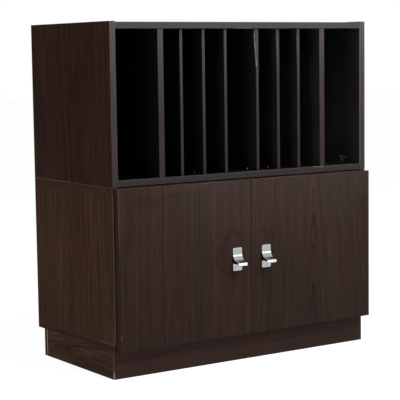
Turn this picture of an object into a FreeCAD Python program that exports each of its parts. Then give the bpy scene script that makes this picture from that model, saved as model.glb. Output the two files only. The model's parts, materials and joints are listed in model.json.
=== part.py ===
import FreeCAD, Part
import os
import re

import Sketcher
from FreeCAD import Rotation, Vector

# A record cabinet of two stacked modules on a plinth. Millimetres, +Z up, the front faces -Y.
# The origin is on the floor, under the middle of the whole cabinet's box.

SIZES = [
    # carcass
    ("width", 800, "outside width of both modules"),
    ("carcass_deep", 407, "depth of both modules, front edge to back edge"),
    ("module_high", 402.5, "height of one module"),
    ("board", 16, "thickness of the carcass boards"),
    ("band_thick", 0.6, "thickness of the front edge bands"),
    ("set_in", 2, "how far the upper top and bottom panels lie inside the side panels' ends"),
    ("lower_set_back", 3, "how far the lower top and bottom panels lie behind the front plane"),
    ("back_thick", 4, "hardboard of the back panels"),
    ("groove_deep", 6, "how far a back panel reaches into the boards"),
    ("groove_back", 10, "wood left behind a back panel's groove"),
    ("groove_play", 0.3, "room round a back panel in its groove"),
    ("fit_play", 0.05, "radial room round a pin, dowel or screw"),
    # dividers
    ("wide_thick", 16, "thickness of the two wide dividers"),
    ("wide_out", 254, "middle of a wide divider from the cabinet's middle"),
    ("thin_thick", 8, "thickness of the thin dividers"),
    ("thin_pitch", 67.4, "pitch of the thin dividers in a group of three"),
    ("thin_middle", 100.7, "pitch across the middle compartment"),
    ("wide_set_back", 4, "how far the wide dividers lie behind the front plane"),
    ("thin_set_back", 17, "how far the thin dividers lie behind the front plane"),
    ("stud_rad", 1.25, "radius of the pins that hold the dividers"),
    ("stud_deep", 8, "length of a divider pin in the board"),
    ("stud_out", 4, "length of a divider pin above the board"),
    ("stud_in", 41, "middle of a divider pin from its divider's front or back edge"),
    # dowels and connectors
    ("dowel_rad", 4, "radius of a dowel"),
    ("dowel_long", 30, "length of a dowel"),
    ("dowel_seat", 10.5, "length of a dowel in the face of a board"),
    ("dowel_in", 30, "outer dowels from the carcass's front and back"),
    ("dowel_play", 0.4, "room at each end of a dowel"),
    ("connector_in", 54, "a corner connector from the carcass's front or back"),
    ("connector_long", 30, "corner connector along the depth"),
    ("connector_high", 16, "corner connector's height on the side panel"),
    ("connector_wide", 13, "corner connector's width on the floor or ceiling"),
    ("connector_round", 6, "rounding of a corner connector"),
    ("connector_side_screw", 9, "side screw from the connector's outer end"),
    ("connector_flat_screw", 20, "floor or ceiling screw from the connector's outer end"),
    ("connector_bite", 10, "length of a connector screw in the board"),
    ("joiner_in", 90, "module joining screws from the carcass's front or back"),
    ("joiner_out", 330, "module joining screws from the cabinet's middle"),
    ("joiner_bite", 13, "length of a joining screw in the lower module"),
    # screws: flat heads are cones, round heads are cylinders
    ("wood_screw_rad", 1.75, "shank radius of the connector and catch screws"),
    ("wood_head_rad", 3.4, "head radius of the connector and catch screws"),
    ("joiner_rad", 2.5, "shank radius of a joining screw"),
    ("joiner_head_rad", 5, "head radius of a joining screw"),
    ("joiner_head_high", 3, "head height of a joining screw"),
    ("leaf_screw_rad", 1.4, "shank radius of a hinge or strike screw"),
    ("leaf_screw_bite", 13, "length of a hinge or strike screw in the wood"),
    ("block_screw_rad", 2.2, "shank radius of a plinth block screw"),
    ("block_screw_bite", 11, "length of a plinth block screw in the bottom panel"),
    ("slot_wide", 0.8, "width of a screw slot"),
    ("slot_share", 0.5, "depth of a screw slot as a share of the head"),
    # doors
    ("door_thick", 16, "thickness of a door"),
    ("door_gap", 3.5, "gap between the carcass and a closed door"),
    ("door_reveal", 1.8, "carcass side that a door leaves bare"),
    ("door_end_gap", 1.2, "carcass that a door leaves bare above and below"),
    ("door_meeting_gap", 2, "gap between the two doors"),
    # continuous hinges: the axis lies in the carcass's side, in the middle of the door gap
    ("knuckle_clear", 0.1, "room between a knuckle and the wood on each side of it"),
    ("hinge_pin_rad", 0.8, "radius of a hinge pin"),
    ("leaf_thick", 0.8, "thickness of a hinge leaf"),
    ("leaf_wide", 13, "width of a hinge leaf beside its knuckles"),
    ("leaf_play", 0.2, "room between a leaf's plate and the other leaf's knuckles"),
    ("leaf_root", 0.3, "start of a knuckle's tab, from the hinge axis"),
    ("knuckle_pairs", 15, "knuckle pairs on a hinge"),
    ("knuckle_play", 0.2, "room between two knuckles"),
    ("hinge_end_gap", 0.5, "a hinge from the ends of the side panel"),
    ("leaf_screw_count", 6, "screws in a hinge leaf"),
    ("leaf_screw_end", 22, "first hinge screw from the leaf's end"),
    # handles
    ("handle_wide", 28.2, "width of a handle"),
    ("handle_high", 59.7, "height of a handle"),
    ("handle_reach", 27, "how far a handle stands out from the door"),
    ("handle_thick", 2, "thickness of the handle's metal"),
    ("handle_upper_foot", 16.6, "length of the flat upper foot"),
    ("handle_sweep", 21.6, "inner radius of the finger sweep"),
    ("handle_lip", 3.4, "thickness of the rounded lip"),
    ("handle_lip_low", 12.6, "lowest point of the lip above the handle's lower end"),
    ("handle_web", 19.1, "top of the web above the handle's lower end"),
    ("handle_bend", 3, "outer bend between the web and the lower foot"),
    ("handle_hollow", 18, "depth of the hollow behind the sweep"),
    ("handle_corner", 3.5, "rounding of the feet's corners"),
    ("handle_in", 45, "middle of a handle from its door's free edge"),
    ("handle_drop", 2, "middle of a handle below its door's middle"),
    ("boss_rad", 3.5, "radius of the bosses on a handle's back"),
    ("boss_long", 5, "length of a boss"),
    ("handle_screw_rad", 2, "shank radius of a handle screw"),
    ("handle_screw_head", 4, "head radius of a handle screw"),
    ("handle_screw_high", 2.4, "head height of a handle screw"),
    ("handle_screw_bite", 5.5, "length of a handle screw in the handle"),
    # catches
    ("catch_out", 40, "middle of a catch from the cabinet's middle"),
    ("catch_body", 30, "width of a catch's body"),
    ("catch_ear", 10, "width of a catch's ear"),
    ("catch_deep", 26, "depth of a catch"),
    ("catch_screw_in", 17, "catch screws behind the catch's front"),
    ("catch_high", 13, "height of a catch's body"),
    ("catch_ear_high", 3.5, "height of a catch's ear"),
    ("magnet_wide", 24, "width of a catch's magnet"),
    ("magnet_high", 7, "height of a catch's magnet"),
    ("magnet_deep", 10, "depth of a catch's magnet in its body"),
    ("magnet_out", 1, "how far a magnet stands out of its body"),
    ("magnet_play", 0.25, "gap between a magnet and its strike plate"),
    ("catch_screw_bite", 11, "length of a catch screw in the top panel"),
    ("strike_wide", 30, "width of a strike plate"),
    ("strike_high", 12, "height of a strike plate"),
    ("strike_thick", 1, "thickness of a strike plate"),
    # shelf
    ("shelf_set_back", 25, "shelf's front edge behind the front plane"),
    ("shelf_play", 2, "room at each end of the shelf"),
    ("shelf_back_play", 2, "room behind the shelf"),
    ("shelf_level", 175, "shelf's underside above the lower floor"),
    ("shelf_pin_rad", 2.5, "radius of a shelf pin"),
    ("shelf_pin_deep", 10, "length of a shelf pin in the side panel"),
    ("shelf_pin_out", 9, "length of a shelf pin out of the side panel"),
    ("shelf_collar_rad", 3.5, "radius of a shelf pin's collar"),
    ("shelf_collar", 1.5, "thickness of a shelf pin's collar"),
    ("shelf_pin_in", 60, "shelf pins from the carcass's front or back"),
    ("shelf_hole_pitch", 32, "pitch of the shelf pin holes"),
    # plinth
    ("plinth_high", 72.5, "height of the plinth"),
    ("plinth_side_in", 2, "plinth from the carcass's sides"),
    ("plinth_front_in", 14, "plinth from the carcass's front plane"),
    ("plinth_back_in", 30, "plinth from the carcass's back"),
    ("plinth_block", 38, "leg of a plinth corner block"),
    ("plinth_block_high", 40, "height of a plinth corner block"),
]
NAMES = {name for name, value, note in SIZES}

# Places that several pieces share, as formulas of the sizes above.
FRONT = "((handle_reach + door_thick + door_gap - carcass_deep) / 2)"
BACK = f"({FRONT} + carcass_deep)"
SIDE_IN = "(width / 2 - board)"
LOWER = "plinth_high"
LOWER_FLOOR = "(plinth_high + board)"
LOWER_CEILING = "(plinth_high + module_high - board)"
UPPER = "(plinth_high + module_high)"
UPPER_FLOOR = f"({UPPER} + set_in + board)"
UPPER_CEILING = f"({UPPER} + module_high - set_in - board)"
INNER_WIDE = "(width - 2 * board)"
UPPER_CLEAR = "(module_high - 2 * set_in - 2 * board)"
LOWER_CLEAR = "(module_high - 2 * board)"
BACK_FACE = f"({BACK} - groove_back - groove_play - back_thick)"
DOOR_BACK = f"({FRONT} - door_gap)"
DOOR_WIDE = "(width / 2 - door_reveal - door_meeting_gap / 2)"
DOOR_HIGH = "(module_high - 2 * door_end_gap)"
HANDLE_LOW = "(plinth_high + module_high / 2 - handle_drop - handle_high / 2)"
HINGE_Y = f"({FRONT} - door_gap / 2)"
HINGE_LOW = f"({LOWER_FLOOR} + hinge_end_gap)"
HINGE_LONG = f"({LOWER_CLEAR} - 2 * hinge_end_gap)"
SHELF_PIN_Z = f"({LOWER_FLOOR} + shelf_level - shelf_pin_rad)"
THIN_CENTRES = [
    f"({side}(thin_middle / 2 + {step} * thin_pitch))"
    for side, step in (("-", 2), ("-", 1), ("-", 0), ("", 0), ("", 1), ("", 2))
]

# Turns that point a piece's own +Z along a row axis.
TO_UP = Rotation()
TO_DOWN = Rotation(Vector(1, 0, 0), 180)
TO_RIGHT = Rotation(Vector(0, 1, 0), 90)
TO_LEFT = Rotation(Vector(0, 1, 0), -90)
TO_BACK = Rotation(Vector(1, 0, 0), -90)
TO_FRONT = Rotation(Vector(1, 0, 0), 90)

doc = FreeCAD.newDocument("record_cabinet")
sheet = doc.addObject("Spreadsheet::Sheet", "sizes")
for row, (name, value, note) in enumerate(SIZES, start=1):
    sheet.set(f"A{row}", name)
    sheet.set(f"B{row}", str(value))
    sheet.set(f"C{row}", note)
    sheet.setAlias(f"B{row}", name)
doc.recompute()

subparts = []


# ---------------------------------------------------------------- helpers

def formula(text):
    """Point each size named in a formula at its cell of the sheet."""
    return re.sub(r"[a-z_]\w*", lambda word: f"sizes.{word[0]}" if word[0] in NAMES else word[0], str(text))


def number(text):
    """The value that a formula has now."""
    return float(sheet.evalExpression(formula(text)))


def bind(thing, **properties):
    """Bind properties to formulas. A double underscore stands for a dot."""
    for name, text in properties.items():
        thing.setExpression(name.replace("__", "."), formula(text))
    return thing


def place(thing, at, turn=None, prop="Placement"):
    """Give an object its turn, and bind its position to three formulas."""
    setattr(thing, prop, FreeCAD.Placement(Vector(), turn or Rotation()))
    for axis, text in zip("xyz", at):
        thing.setExpression(f"{prop}.Base.{axis}", formula(text))
    return thing


def keep(thing, label):
    """Name an object as a sub-part that is written out."""
    thing.Label = label
    subparts.append(thing)
    return thing


def origin_feature(body, role):
    return next(feature for feature in body.Origin.OriginFeatures if feature.Role == role)


def sketch_on(body, role, level="0"):
    sketch = body.newObject("Sketcher::SketchObject", f"{body.Name}_sketch")
    sketch.AttachmentSupport = (origin_feature(body, role), [""])
    sketch.MapMode = "FlatFace"
    return bind(sketch, AttachmentOffset__Base__z=level)


def fix_point(sketch, edge, end, x, y):
    """Hold one point of a sketch at two formulas, measured from the sketch's origin."""
    for kind, text in (("DistanceX", x), ("DistanceY", y)):
        index = sketch.addConstraint(Sketcher.Constraint(kind, -1, 1, edge, end, number(text)))
        sketch.setExpression(f"Constraints[{index}]", formula(text))


def draw_outline(sketch, corners, arcs=None):
    """Draw a closed outline. arcs maps the edge after a corner to its centre and its sense."""
    arcs = arcs or {}
    values = [Vector(number(x), number(y), 0) for x, y in corners]
    count = len(corners)
    first = sketch.GeometryCount
    starts, ends = [], []
    for index, start in enumerate(values):
        end = values[(index + 1) % count]
        if index in arcs:
            centre_x, centre_y, sense = arcs[index]
            centre = Vector(number(centre_x), number(centre_y), 0)
            circle = Part.Circle(centre, Vector(0, 0, 1), (start - centre).Length)
            low, high = (start, end) if sense == "left" else (end, start)
            sketch.addGeometry(Part.ArcOfCircle(circle, circle.parameter(low), circle.parameter(high)), False)
            starts.append(1 if sense == "left" else 2)
            ends.append(2 if sense == "left" else 1)
        else:
            sketch.addGeometry(Part.LineSegment(start, end), False)
            starts.append(1)
            ends.append(2)
    for index, (x, y) in enumerate(corners):
        following = (index + 1) % count
        sketch.addConstraint(Sketcher.Constraint(
            "Coincident", first + index, ends[index], first + following, starts[following]))
        fix_point(sketch, first + index, starts[index], x, y)
    for index, (centre_x, centre_y, sense) in arcs.items():
        step = values[(index + 1) % count] - values[index]
        kind, text = ("DistanceX", centre_x) if abs(step.y) >= abs(step.x) else ("DistanceY", centre_y)
        constraint = sketch.addConstraint(Sketcher.Constraint(kind, -1, 1, first + index, 3, number(text)))
        sketch.setExpression(f"Constraints[{constraint}]", formula(text))


def draw_circle(sketch, x, y, radius):
    centre = Vector(number(x), number(y), 0)
    edge = sketch.addGeometry(Part.Circle(centre, Vector(0, 0, 1), number(radius)), False)
    fix_point(sketch, edge, 3, x, y)
    index = sketch.addConstraint(Sketcher.Constraint("Radius", edge, number(radius)))
    sketch.setExpression(f"Constraints[{index}]", formula(radius))


def pad(body, sketch, length):
    feature = body.newObject("PartDesign::Pad", f"{body.Name}_pad")
    feature.Profile = sketch
    return bind(feature, Length=length)


def new_body(name, at=("0", "0", "0"), turn=None):
    return place(doc.addObject("PartDesign::Body", name), at, turn)


def board(name, at, size):
    """A plain board: its lowest corner and its three sizes."""
    body = new_body(name, at)
    sketch = sketch_on(body, "XY_Plane")
    draw_outline(sketch, [("0", "0"), (size[0], "0"), (size[0], size[1]), ("0", size[1])])
    pad(body, sketch, size[2])
    return body


def prism(name, at, corners, height):
    """An upright board of any outline seen from above."""
    body = new_body(name, at)
    sketch = sketch_on(body, "XY_Plane")
    draw_outline(sketch, corners)
    pad(body, sketch, height)
    return body


def turned(name, corners):
    """A turned piece along +Z: its outline as radius and height."""
    body = new_body(name)
    sketch = sketch_on(body, "XZ_Plane")
    draw_outline(sketch, corners)
    feature = body.newObject("PartDesign::Revolution", f"{name}_turning")
    feature.Profile = sketch
    feature.ReferenceAxis = (sketch, ["V_Axis"])
    feature.Angle = 360
    return body


def pin(name, radius, length, play="0", end_play="0"):
    """A plain pin along +Z, or the hole for it with some room."""
    start = f"-({end_play})"
    return turned(name, [
        ("0", start), (f"{radius} + {play}", start), (f"{radius} + {play}", f"{length} + {end_play}"),
        ("0", f"{length} + {end_play}")])


def screw(name, shank, head, head_high, length, flat):
    """A slotted screw that drives along +Z, its head's outer face at the origin, and the hole for it."""
    made = []
    for label, play in ((name, "0"), (f"{name}_hole", "fit_play")):
        seat = shank if flat else head
        corners = [("0", "0"), (f"{head} + {play}", "0"), (f"{seat} + {play}", head_high)]
        if not flat:
            corners.append((f"{shank} + {play}", head_high))
        corners += [(f"{shank} + {play}", f"{length} + {play}"), ("0", f"{length} + {play}")]
        made.append(turned(label, corners))
    slot = doc.addObject("Part::Box", f"{name}_slot")
    bind(slot, Length=f"2 * ({head})", Width="slot_wide", Height=f"({head_high}) * slot_share")
    place(slot, (f"-({head})", "-slot_wide / 2", "0"))
    return cut(name, made[0], [slot]), made[1]


def copies(name, master, places):
    """Separate copies of one piece, each with a place and a turn."""
    links = []
    for index, (at, turn) in enumerate(places):
        link = doc.addObject("App::Link", f"{name}_{index}")
        link.LinkedObject = master
        links.append(place(link, at, turn, "LinkPlacement"))
    return together(name, links)


def together(name, members):
    group = doc.addObject("Part::Compound", f"{name}_group")
    group.Links = members
    return group


def cut(name, base, tools):
    """Take tools out of a piece, and check that each one takes something."""
    doc.recompute()
    for tool in tools:
        if base.Shape.common(tool.Shape).Volume < 0.01:
            raise RuntimeError(f"{tool.Name} takes nothing out of {name}")
    result = doc.addObject("Part::Cut", f"{name}_cut")
    result.Base = base
    result.Tool = tools[0] if len(tools) == 1 else together(f"{name}_tools", tools)
    return result


def mirrored(name, source, normal=Vector(1, 0, 0), height="0"):
    """A mirror image across the cabinet's middle, or across a level plane."""
    image = doc.addObject("Part::Mirroring", name)
    image.Source = source
    image.Normal = normal
    return bind(image, Base__z=height)


def both_sides(places):
    """Places of the left side, and the same on the right. Pieces along X turn round."""
    turns = {"TO_LEFT": TO_RIGHT, "TO_RIGHT": TO_LEFT}
    result = []
    for (x, y, z), turn in places:
        result.append(((x, y, z), turn))
        other = next((turns[key] for key, value in (("TO_LEFT", TO_LEFT), ("TO_RIGHT", TO_RIGHT))
                      if turn.isSame(value, 1e-6)), turn)
        result.append(((f"-({x})", y, z), other))
    return result


# ---------------------------------------------------------------- fasteners

DEPTHS = (f"({FRONT} + dowel_in)", f"({FRONT} + carcass_deep / 2)", f"({BACK} - dowel_in)")
dowel = pin("dowel", "dowel_rad", "dowel_long")
dowel_hole = pin("dowel_hole", "dowel_rad", "dowel_long", "fit_play", "dowel_play")
stud = pin("stud", "stud_rad", "stud_deep + stud_out")
stud_hole = pin("stud_hole", "stud_rad", "stud_deep + stud_out", "fit_play")

upper_dowel_places = both_sides([
    ((f"-{SIDE_IN} - dowel_seat", y, z), TO_RIGHT)
    for y in DEPTHS
    for z in (f"{UPPER_FLOOR} - board / 2", f"{UPPER_CEILING} + board / 2")
])
lower_dowel_places = both_sides([
    place_of_end
    for y in DEPTHS
    for place_of_end in (
        (("board / 2 - width / 2", y, f"{LOWER_FLOOR} - dowel_seat"), TO_UP),
        (("board / 2 - width / 2", y, f"{LOWER_CEILING} + dowel_seat"), TO_DOWN),
    )
])
upper_dowels = keep(copies("upper_dowels", dowel, upper_dowel_places), "upper_dowels")
lower_dowels = keep(copies("lower_dowels", dowel, lower_dowel_places), "lower_dowels")
upper_dowel_holes = copies("upper_dowel_holes", dowel_hole, upper_dowel_places)
lower_dowel_holes = copies("lower_dowel_holes", dowel_hole, lower_dowel_places)

DIVIDERS = [("divider_wide_left", "-wide_out", "wide_thick", "wide_set_back"),
            ("divider_wide_right", "wide_out", "wide_thick", "wide_set_back")]
DIVIDERS += [(f"divider_thin_{index}", centre, "thin_thick", "thin_set_back")
             for index, centre in enumerate(THIN_CENTRES, start=1)]
stud_columns = [
    (f"{centre} {side} ({thick} / 2 + stud_rad + fit_play)", y)
    for label, centre, thick, set_back in DIVIDERS
    for side in "-+"
    for y in (f"{FRONT} + {set_back} + stud_in", f"{BACK_FACE} - stud_in")
]
floor_studs = [((x, y, f"{UPPER_FLOOR} - stud_deep"), TO_UP) for x, y in stud_columns]
ceiling_studs = [((x, y, f"{UPPER_CEILING} + stud_deep"), TO_DOWN) for x, y in stud_columns]
keep(copies("divider_pins", stud, floor_studs + ceiling_studs), "divider_pins")
floor_stud_holes = copies("floor_stud_holes", stud_hole, floor_studs)
ceiling_stud_holes = copies("ceiling_stud_holes", stud_hole, ceiling_studs)

WOOD_HEAD = "(wood_head_rad - wood_screw_rad)"
side_screw, side_screw_hole = screw(
    "side_screw", "wood_screw_rad", "wood_head_rad", WOOD_HEAD, "connector_wide + connector_bite", flat=True)
flat_screw, flat_screw_hole = screw(
    "flat_screw", "wood_screw_rad", "wood_head_rad", WOOD_HEAD, "connector_high + connector_bite", flat=True)


def connector_screw_places(offset):
    """Depths of one kind of connector screw: near the front, and the same from the back."""
    return (f"{FRONT} + connector_in + {offset}", f"{BACK} - connector_in - {offset}")


side_screw_places = both_sides([
    ((f"connector_wide - {SIDE_IN}", y, z), TO_LEFT)
    for y in connector_screw_places("connector_side_screw")
    for z in (f"{UPPER_FLOOR} + connector_high / 2", f"{UPPER_CEILING} - connector_high / 2")
])
floor_screw_places = both_sides([
    ((f"connector_wide / 2 - {SIDE_IN}", y, f"{UPPER_FLOOR} + connector_high"), TO_DOWN)
    for y in connector_screw_places("connector_flat_screw")
])
ceiling_screw_places = both_sides([
    ((f"connector_wide / 2 - {SIDE_IN}", y, f"{UPPER_CEILING} - connector_high"), TO_UP)
    for y in connector_screw_places("connector_flat_screw")
])
keep(together("connector_screws", [
    copies("side_screws", side_screw, side_screw_places),
    copies("floor_screws", flat_screw, floor_screw_places),
    copies("ceiling_screws", flat_screw, ceiling_screw_places),
]), "connector_screws")
side_screw_holes = copies("side_screw_holes", side_screw_hole, side_screw_places)
floor_screw_holes = copies("floor_screw_holes", flat_screw_hole, floor_screw_places)
ceiling_screw_holes = copies("ceiling_screw_holes", flat_screw_hole, ceiling_screw_places)

joiner, joiner_hole = screw(
    "joiner", "joiner_rad", "joiner_head_rad", "joiner_head_high", "board + set_in + joiner_bite", flat=False)
joiner_places = both_sides([
    (("-joiner_out", y, UPPER_FLOOR), TO_DOWN)
    for y in (f"{FRONT} + joiner_in", f"{BACK} - joiner_in")
])
keep(copies("module_joining_screws", joiner, joiner_places), "module_joining_screws")
joiner_holes = copies("joiner_holes", joiner_hole, joiner_places)


# ---------------------------------------------------------------- carcass

def groove_for(name, low, high):
    """The space of a back panel and the room round it, from its floor to its ceiling."""
    block = doc.addObject("Part::Box", name)
    bind(block, Length=f"{INNER_WIDE} + 2 * groove_deep", Width="back_thick + 2 * groove_play",
         Height=f"{high} - {low} + 2 * groove_deep")
    return place(block, (f"-{SIDE_IN} - groove_deep", f"{BACK_FACE} - groove_play", f"{low} - groove_deep"))


def back_panel(label, low, high):
    """A hardboard panel that lies in the groove with its room all round."""
    keep(board(label, (f"groove_play - {SIDE_IN} - groove_deep", BACK_FACE, f"{low} - groove_deep + groove_play"),
               (f"{INNER_WIDE} + 2 * (groove_deep - groove_play)", "back_thick",
                f"{high} - {low} + 2 * (groove_deep - groove_play)")), label)


PANEL_FRONT = f"({FRONT} + band_thick)"
PANEL_DEEP = "(carcass_deep - band_thick)"
LOWER_PANEL_FRONT = f"({FRONT} + lower_set_back + band_thick)"
LOWER_PANEL_DEEP = "(carcass_deep - lower_set_back - band_thick)"

upper_groove = groove_for("upper_groove", UPPER_FLOOR, UPPER_CEILING)
lower_groove = groove_for("lower_groove", LOWER_FLOOR, LOWER_CEILING)
back_panel("upper_back_panel", UPPER_FLOOR, UPPER_CEILING)
back_panel("lower_back_panel", LOWER_FLOOR, LOWER_CEILING)

upper_side = board("upper_side_blank", ("-width / 2", PANEL_FRONT, UPPER), ("board", PANEL_DEEP, "module_high"))
upper_side_left = keep(cut("upper_side_left", upper_side, [upper_groove, upper_dowel_holes, side_screw_holes]),
                       "upper_side_left")
keep(mirrored("upper_side_right", upper_side_left), "upper_side_right")

for label, level, holes in (
    ("upper_bottom_panel", f"{UPPER_FLOOR} - board", [floor_stud_holes, floor_screw_holes, joiner_holes]),
    ("upper_top_panel", UPPER_CEILING, [ceiling_stud_holes, ceiling_screw_holes]),
):
    blank = board(f"{label}_blank", (f"-{SIDE_IN}", PANEL_FRONT, level), (INNER_WIDE, PANEL_DEEP, "board"))
    keep(cut(label, blank, [upper_groove, upper_dowel_holes] + holes), label)

divider_bands = []
for label, centre, thick, set_back in DIVIDERS:
    left = f"{centre} - {thick} / 2"
    front = f"({FRONT} + {set_back})"
    keep(board(label, (left, f"{front} + band_thick", UPPER_FLOOR),
               (thick, f"{BACK_FACE} - {front} - band_thick", UPPER_CLEAR)), label)
    divider_bands.append(board(f"{label}_band", (left, front, UPPER_FLOOR), (thick, "band_thick", UPPER_CLEAR)))
keep(together("divider_edge_bands", divider_bands), "divider_edge_bands")

side_band = board("upper_side_band", ("-width / 2", FRONT, UPPER), ("board", "band_thick", "module_high"))
keep(together("upper_edge_bands", [
    side_band,
    mirrored("upper_side_band_right", side_band),
    board("upper_bottom_band", (f"-{SIDE_IN}", FRONT, f"{UPPER_FLOOR} - board"), (INNER_WIDE, "band_thick", "board")),
    board("upper_top_band", (f"-{SIDE_IN}", FRONT, UPPER_CEILING), (INNER_WIDE, "band_thick", "board")),
]), "upper_edge_bands")


def corner_connector():
    """One connector in the left front floor corner: a rounded block with a screw each way."""
    body = new_body("connector", (f"-{SIDE_IN}", f"{FRONT} + connector_in", UPPER_FLOOR))
    sketch = sketch_on(body, "YZ_Plane")
    far, top, turn = "connector_long", "connector_high", "connector_round"
    draw_outline(
        sketch,
        [("0", "0"), (far, "0"), (far, f"{top} - {turn}"), (f"{far} - {turn}", top),
         (turn, top), ("0", f"{top} - {turn}")],
        {2: (f"{far} - {turn}", f"{top} - {turn}", "left"), 4: (turn, f"{top} - {turn}", "left")})
    pad(body, sketch, "connector_wide")
    return cut("connector", body, [side_screw_holes, floor_screw_holes])


connector = corner_connector()
connector_back = doc.addObject("Part::Mirroring", "connector_back")
connector_back.Source = connector
connector_back.Normal = Vector(0, 1, 0)
bind(connector_back, Base__y=f"({FRONT} + {BACK}) / 2")
floor_connectors = together("floor_connectors", [connector, connector_back])
ceiling_connectors = mirrored("ceiling_connectors", floor_connectors, Vector(0, 0, 1),
                              f"({UPPER_FLOOR} + {UPPER_CEILING}) / 2")
left_connectors = together("left_connectors", [floor_connectors, ceiling_connectors])
keep(together("corner_connectors", [left_connectors, mirrored("right_connectors", left_connectors)]),
     "corner_connectors")

# ---------------------------------------------------------------- shelf

SHELF_FRONT = f"({FRONT} + shelf_set_back)"
SHELF_WIDE = f"({INNER_WIDE} - 2 * shelf_play)"
SHELF_LOW = f"({LOWER_FLOOR} + shelf_level)"
keep(board("shelf", (f"shelf_play - {SIDE_IN}", f"{SHELF_FRONT} + band_thick", SHELF_LOW),
           (SHELF_WIDE, f"{BACK_FACE} - shelf_back_play - {SHELF_FRONT} - band_thick", "board")), "shelf")
keep(board("shelf_edge_band", (f"shelf_play - {SIDE_IN}", SHELF_FRONT, SHELF_LOW),
           (SHELF_WIDE, "band_thick", "board")), "shelf_edge_band")

COLLAR_START = "(shelf_pin_out - shelf_collar)"
shelf_pin = turned("shelf_pin", [
    ("0", "0"), ("shelf_pin_rad", "0"), ("shelf_pin_rad", COLLAR_START), ("shelf_collar_rad", COLLAR_START),
    ("shelf_collar_rad", "shelf_pin_out"), ("shelf_pin_rad", "shelf_pin_out"),
    ("shelf_pin_rad", "shelf_pin_out + shelf_pin_deep"), ("0", "shelf_pin_out + shelf_pin_deep")])
shelf_hole = pin("shelf_hole", "shelf_pin_rad", "shelf_pin_deep", "fit_play")
shelf_pin_depths = (f"{FRONT} + shelf_pin_in", f"{BACK} - shelf_pin_in")
keep(copies("shelf_pins", shelf_pin, both_sides([
    ((f"shelf_pin_out - {SIDE_IN}", y, SHELF_PIN_Z), TO_LEFT) for y in shelf_pin_depths
])), "shelf_pins")
shelf_holes = copies("shelf_holes", shelf_hole, [
    ((f"-{SIDE_IN}", y, f"{SHELF_PIN_Z} + {step} * shelf_hole_pitch"), TO_LEFT)
    for y in shelf_pin_depths
    for step in (-2, -1, 0, 1, 2)
])

# ---------------------------------------------------------------- hinges

KNUCKLE = f"({HINGE_LONG} / (2 * knuckle_pairs))"
KNUCKLE_RAD = "(door_gap / 2 - knuckle_clear)"
leaf_screw, leaf_screw_hole = screw(
    "leaf_screw", "leaf_screw_rad", "leaf_screw_rad + leaf_thick", "leaf_thick", "leaf_thick + leaf_screw_bite",
    flat=True)
LEAF_SCREW_STEP = f"(({HINGE_LONG} - 2 * leaf_screw_end) / (leaf_screw_count - 1))"
leaf_screw_heights = [
    f"{HINGE_LOW} + leaf_screw_end + {index} * {LEAF_SCREW_STEP}"
    for index in range(int(number("leaf_screw_count")))
]
LEAF_SCREW_X = f"({KNUCKLE_RAD} + leaf_play + leaf_wide / 2 - width / 2)"
frame_screw_places = [((LEAF_SCREW_X, f"{FRONT} - leaf_thick", z), TO_BACK) for z in leaf_screw_heights]
door_screw_places = [((LEAF_SCREW_X, f"{DOOR_BACK} + leaf_thick", z), TO_FRONT) for z in leaf_screw_heights]
left_frame_screws = copies("left_frame_screws", leaf_screw, frame_screw_places)
keep(together("hinge_frame_screws", [left_frame_screws, mirrored("right_frame_screws", left_frame_screws)]),
     "hinge_frame_screws")
hinge_door_screws_left = keep(copies("hinge_door_screws_left", leaf_screw, door_screw_places),
                              "hinge_door_screws_left")
keep(mirrored("hinge_door_screws_right", hinge_door_screws_left), "hinge_door_screws_right")
frame_screw_holes = copies("frame_screw_holes", leaf_screw_hole, frame_screw_places)
door_screw_holes = copies("door_screw_holes", leaf_screw_hole, door_screw_places)


def hinge_leaf(label, first, leaf_y, holes):
    """A leaf of the left hinge: a plate, and every second knuckle joined to it by a tab.

    first is 0 or 1, the knuckle that it starts with, and leaf_y is the plate's front face from the axis.
    """
    body = new_body(f"{label}_blank", ("-width / 2", HINGE_Y, HINGE_LOW))
    plate = sketch_on(body, "XY_Plane")
    far = f"{leaf_y} + leaf_thick"
    near_x, far_x = f"{KNUCKLE_RAD} + leaf_play", f"{KNUCKLE_RAD} + leaf_play + leaf_wide"
    draw_outline(plate, [(near_x, leaf_y), (far_x, leaf_y), (far_x, far), (near_x, far)])
    pad(body, plate, HINGE_LONG)
    start = f"{first} * {KNUCKLE} + knuckle_play / 2"
    knuckle = sketch_on(body, "XY_Plane", start)
    draw_circle(knuckle, "0", "0", KNUCKLE_RAD)
    draw_circle(knuckle, "0", "0", "hinge_pin_rad + fit_play")
    ring = pad(body, knuckle, f"{KNUCKLE} - knuckle_play")
    tab = sketch_on(body, "XY_Plane", start)
    tab_end = f"{near_x} + leaf_thick"
    draw_outline(tab, [("leaf_root", leaf_y), (tab_end, leaf_y), (tab_end, far), ("leaf_root", far)])
    web = pad(body, tab, f"{KNUCKLE} - knuckle_play")
    doc.recompute()
    pattern = body.newObject("PartDesign::LinearPattern", f"{label}_knuckles")
    pattern.Originals = [ring, web]
    pattern.Direction = (origin_feature(body, "Z_Axis"), [""])
    bind(pattern, Length=f"2 * {KNUCKLE} * (knuckle_pairs - 1)", Occurrences="knuckle_pairs")
    body.Tip = pattern
    return keep(cut(label, body, [holes]), label)


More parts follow.
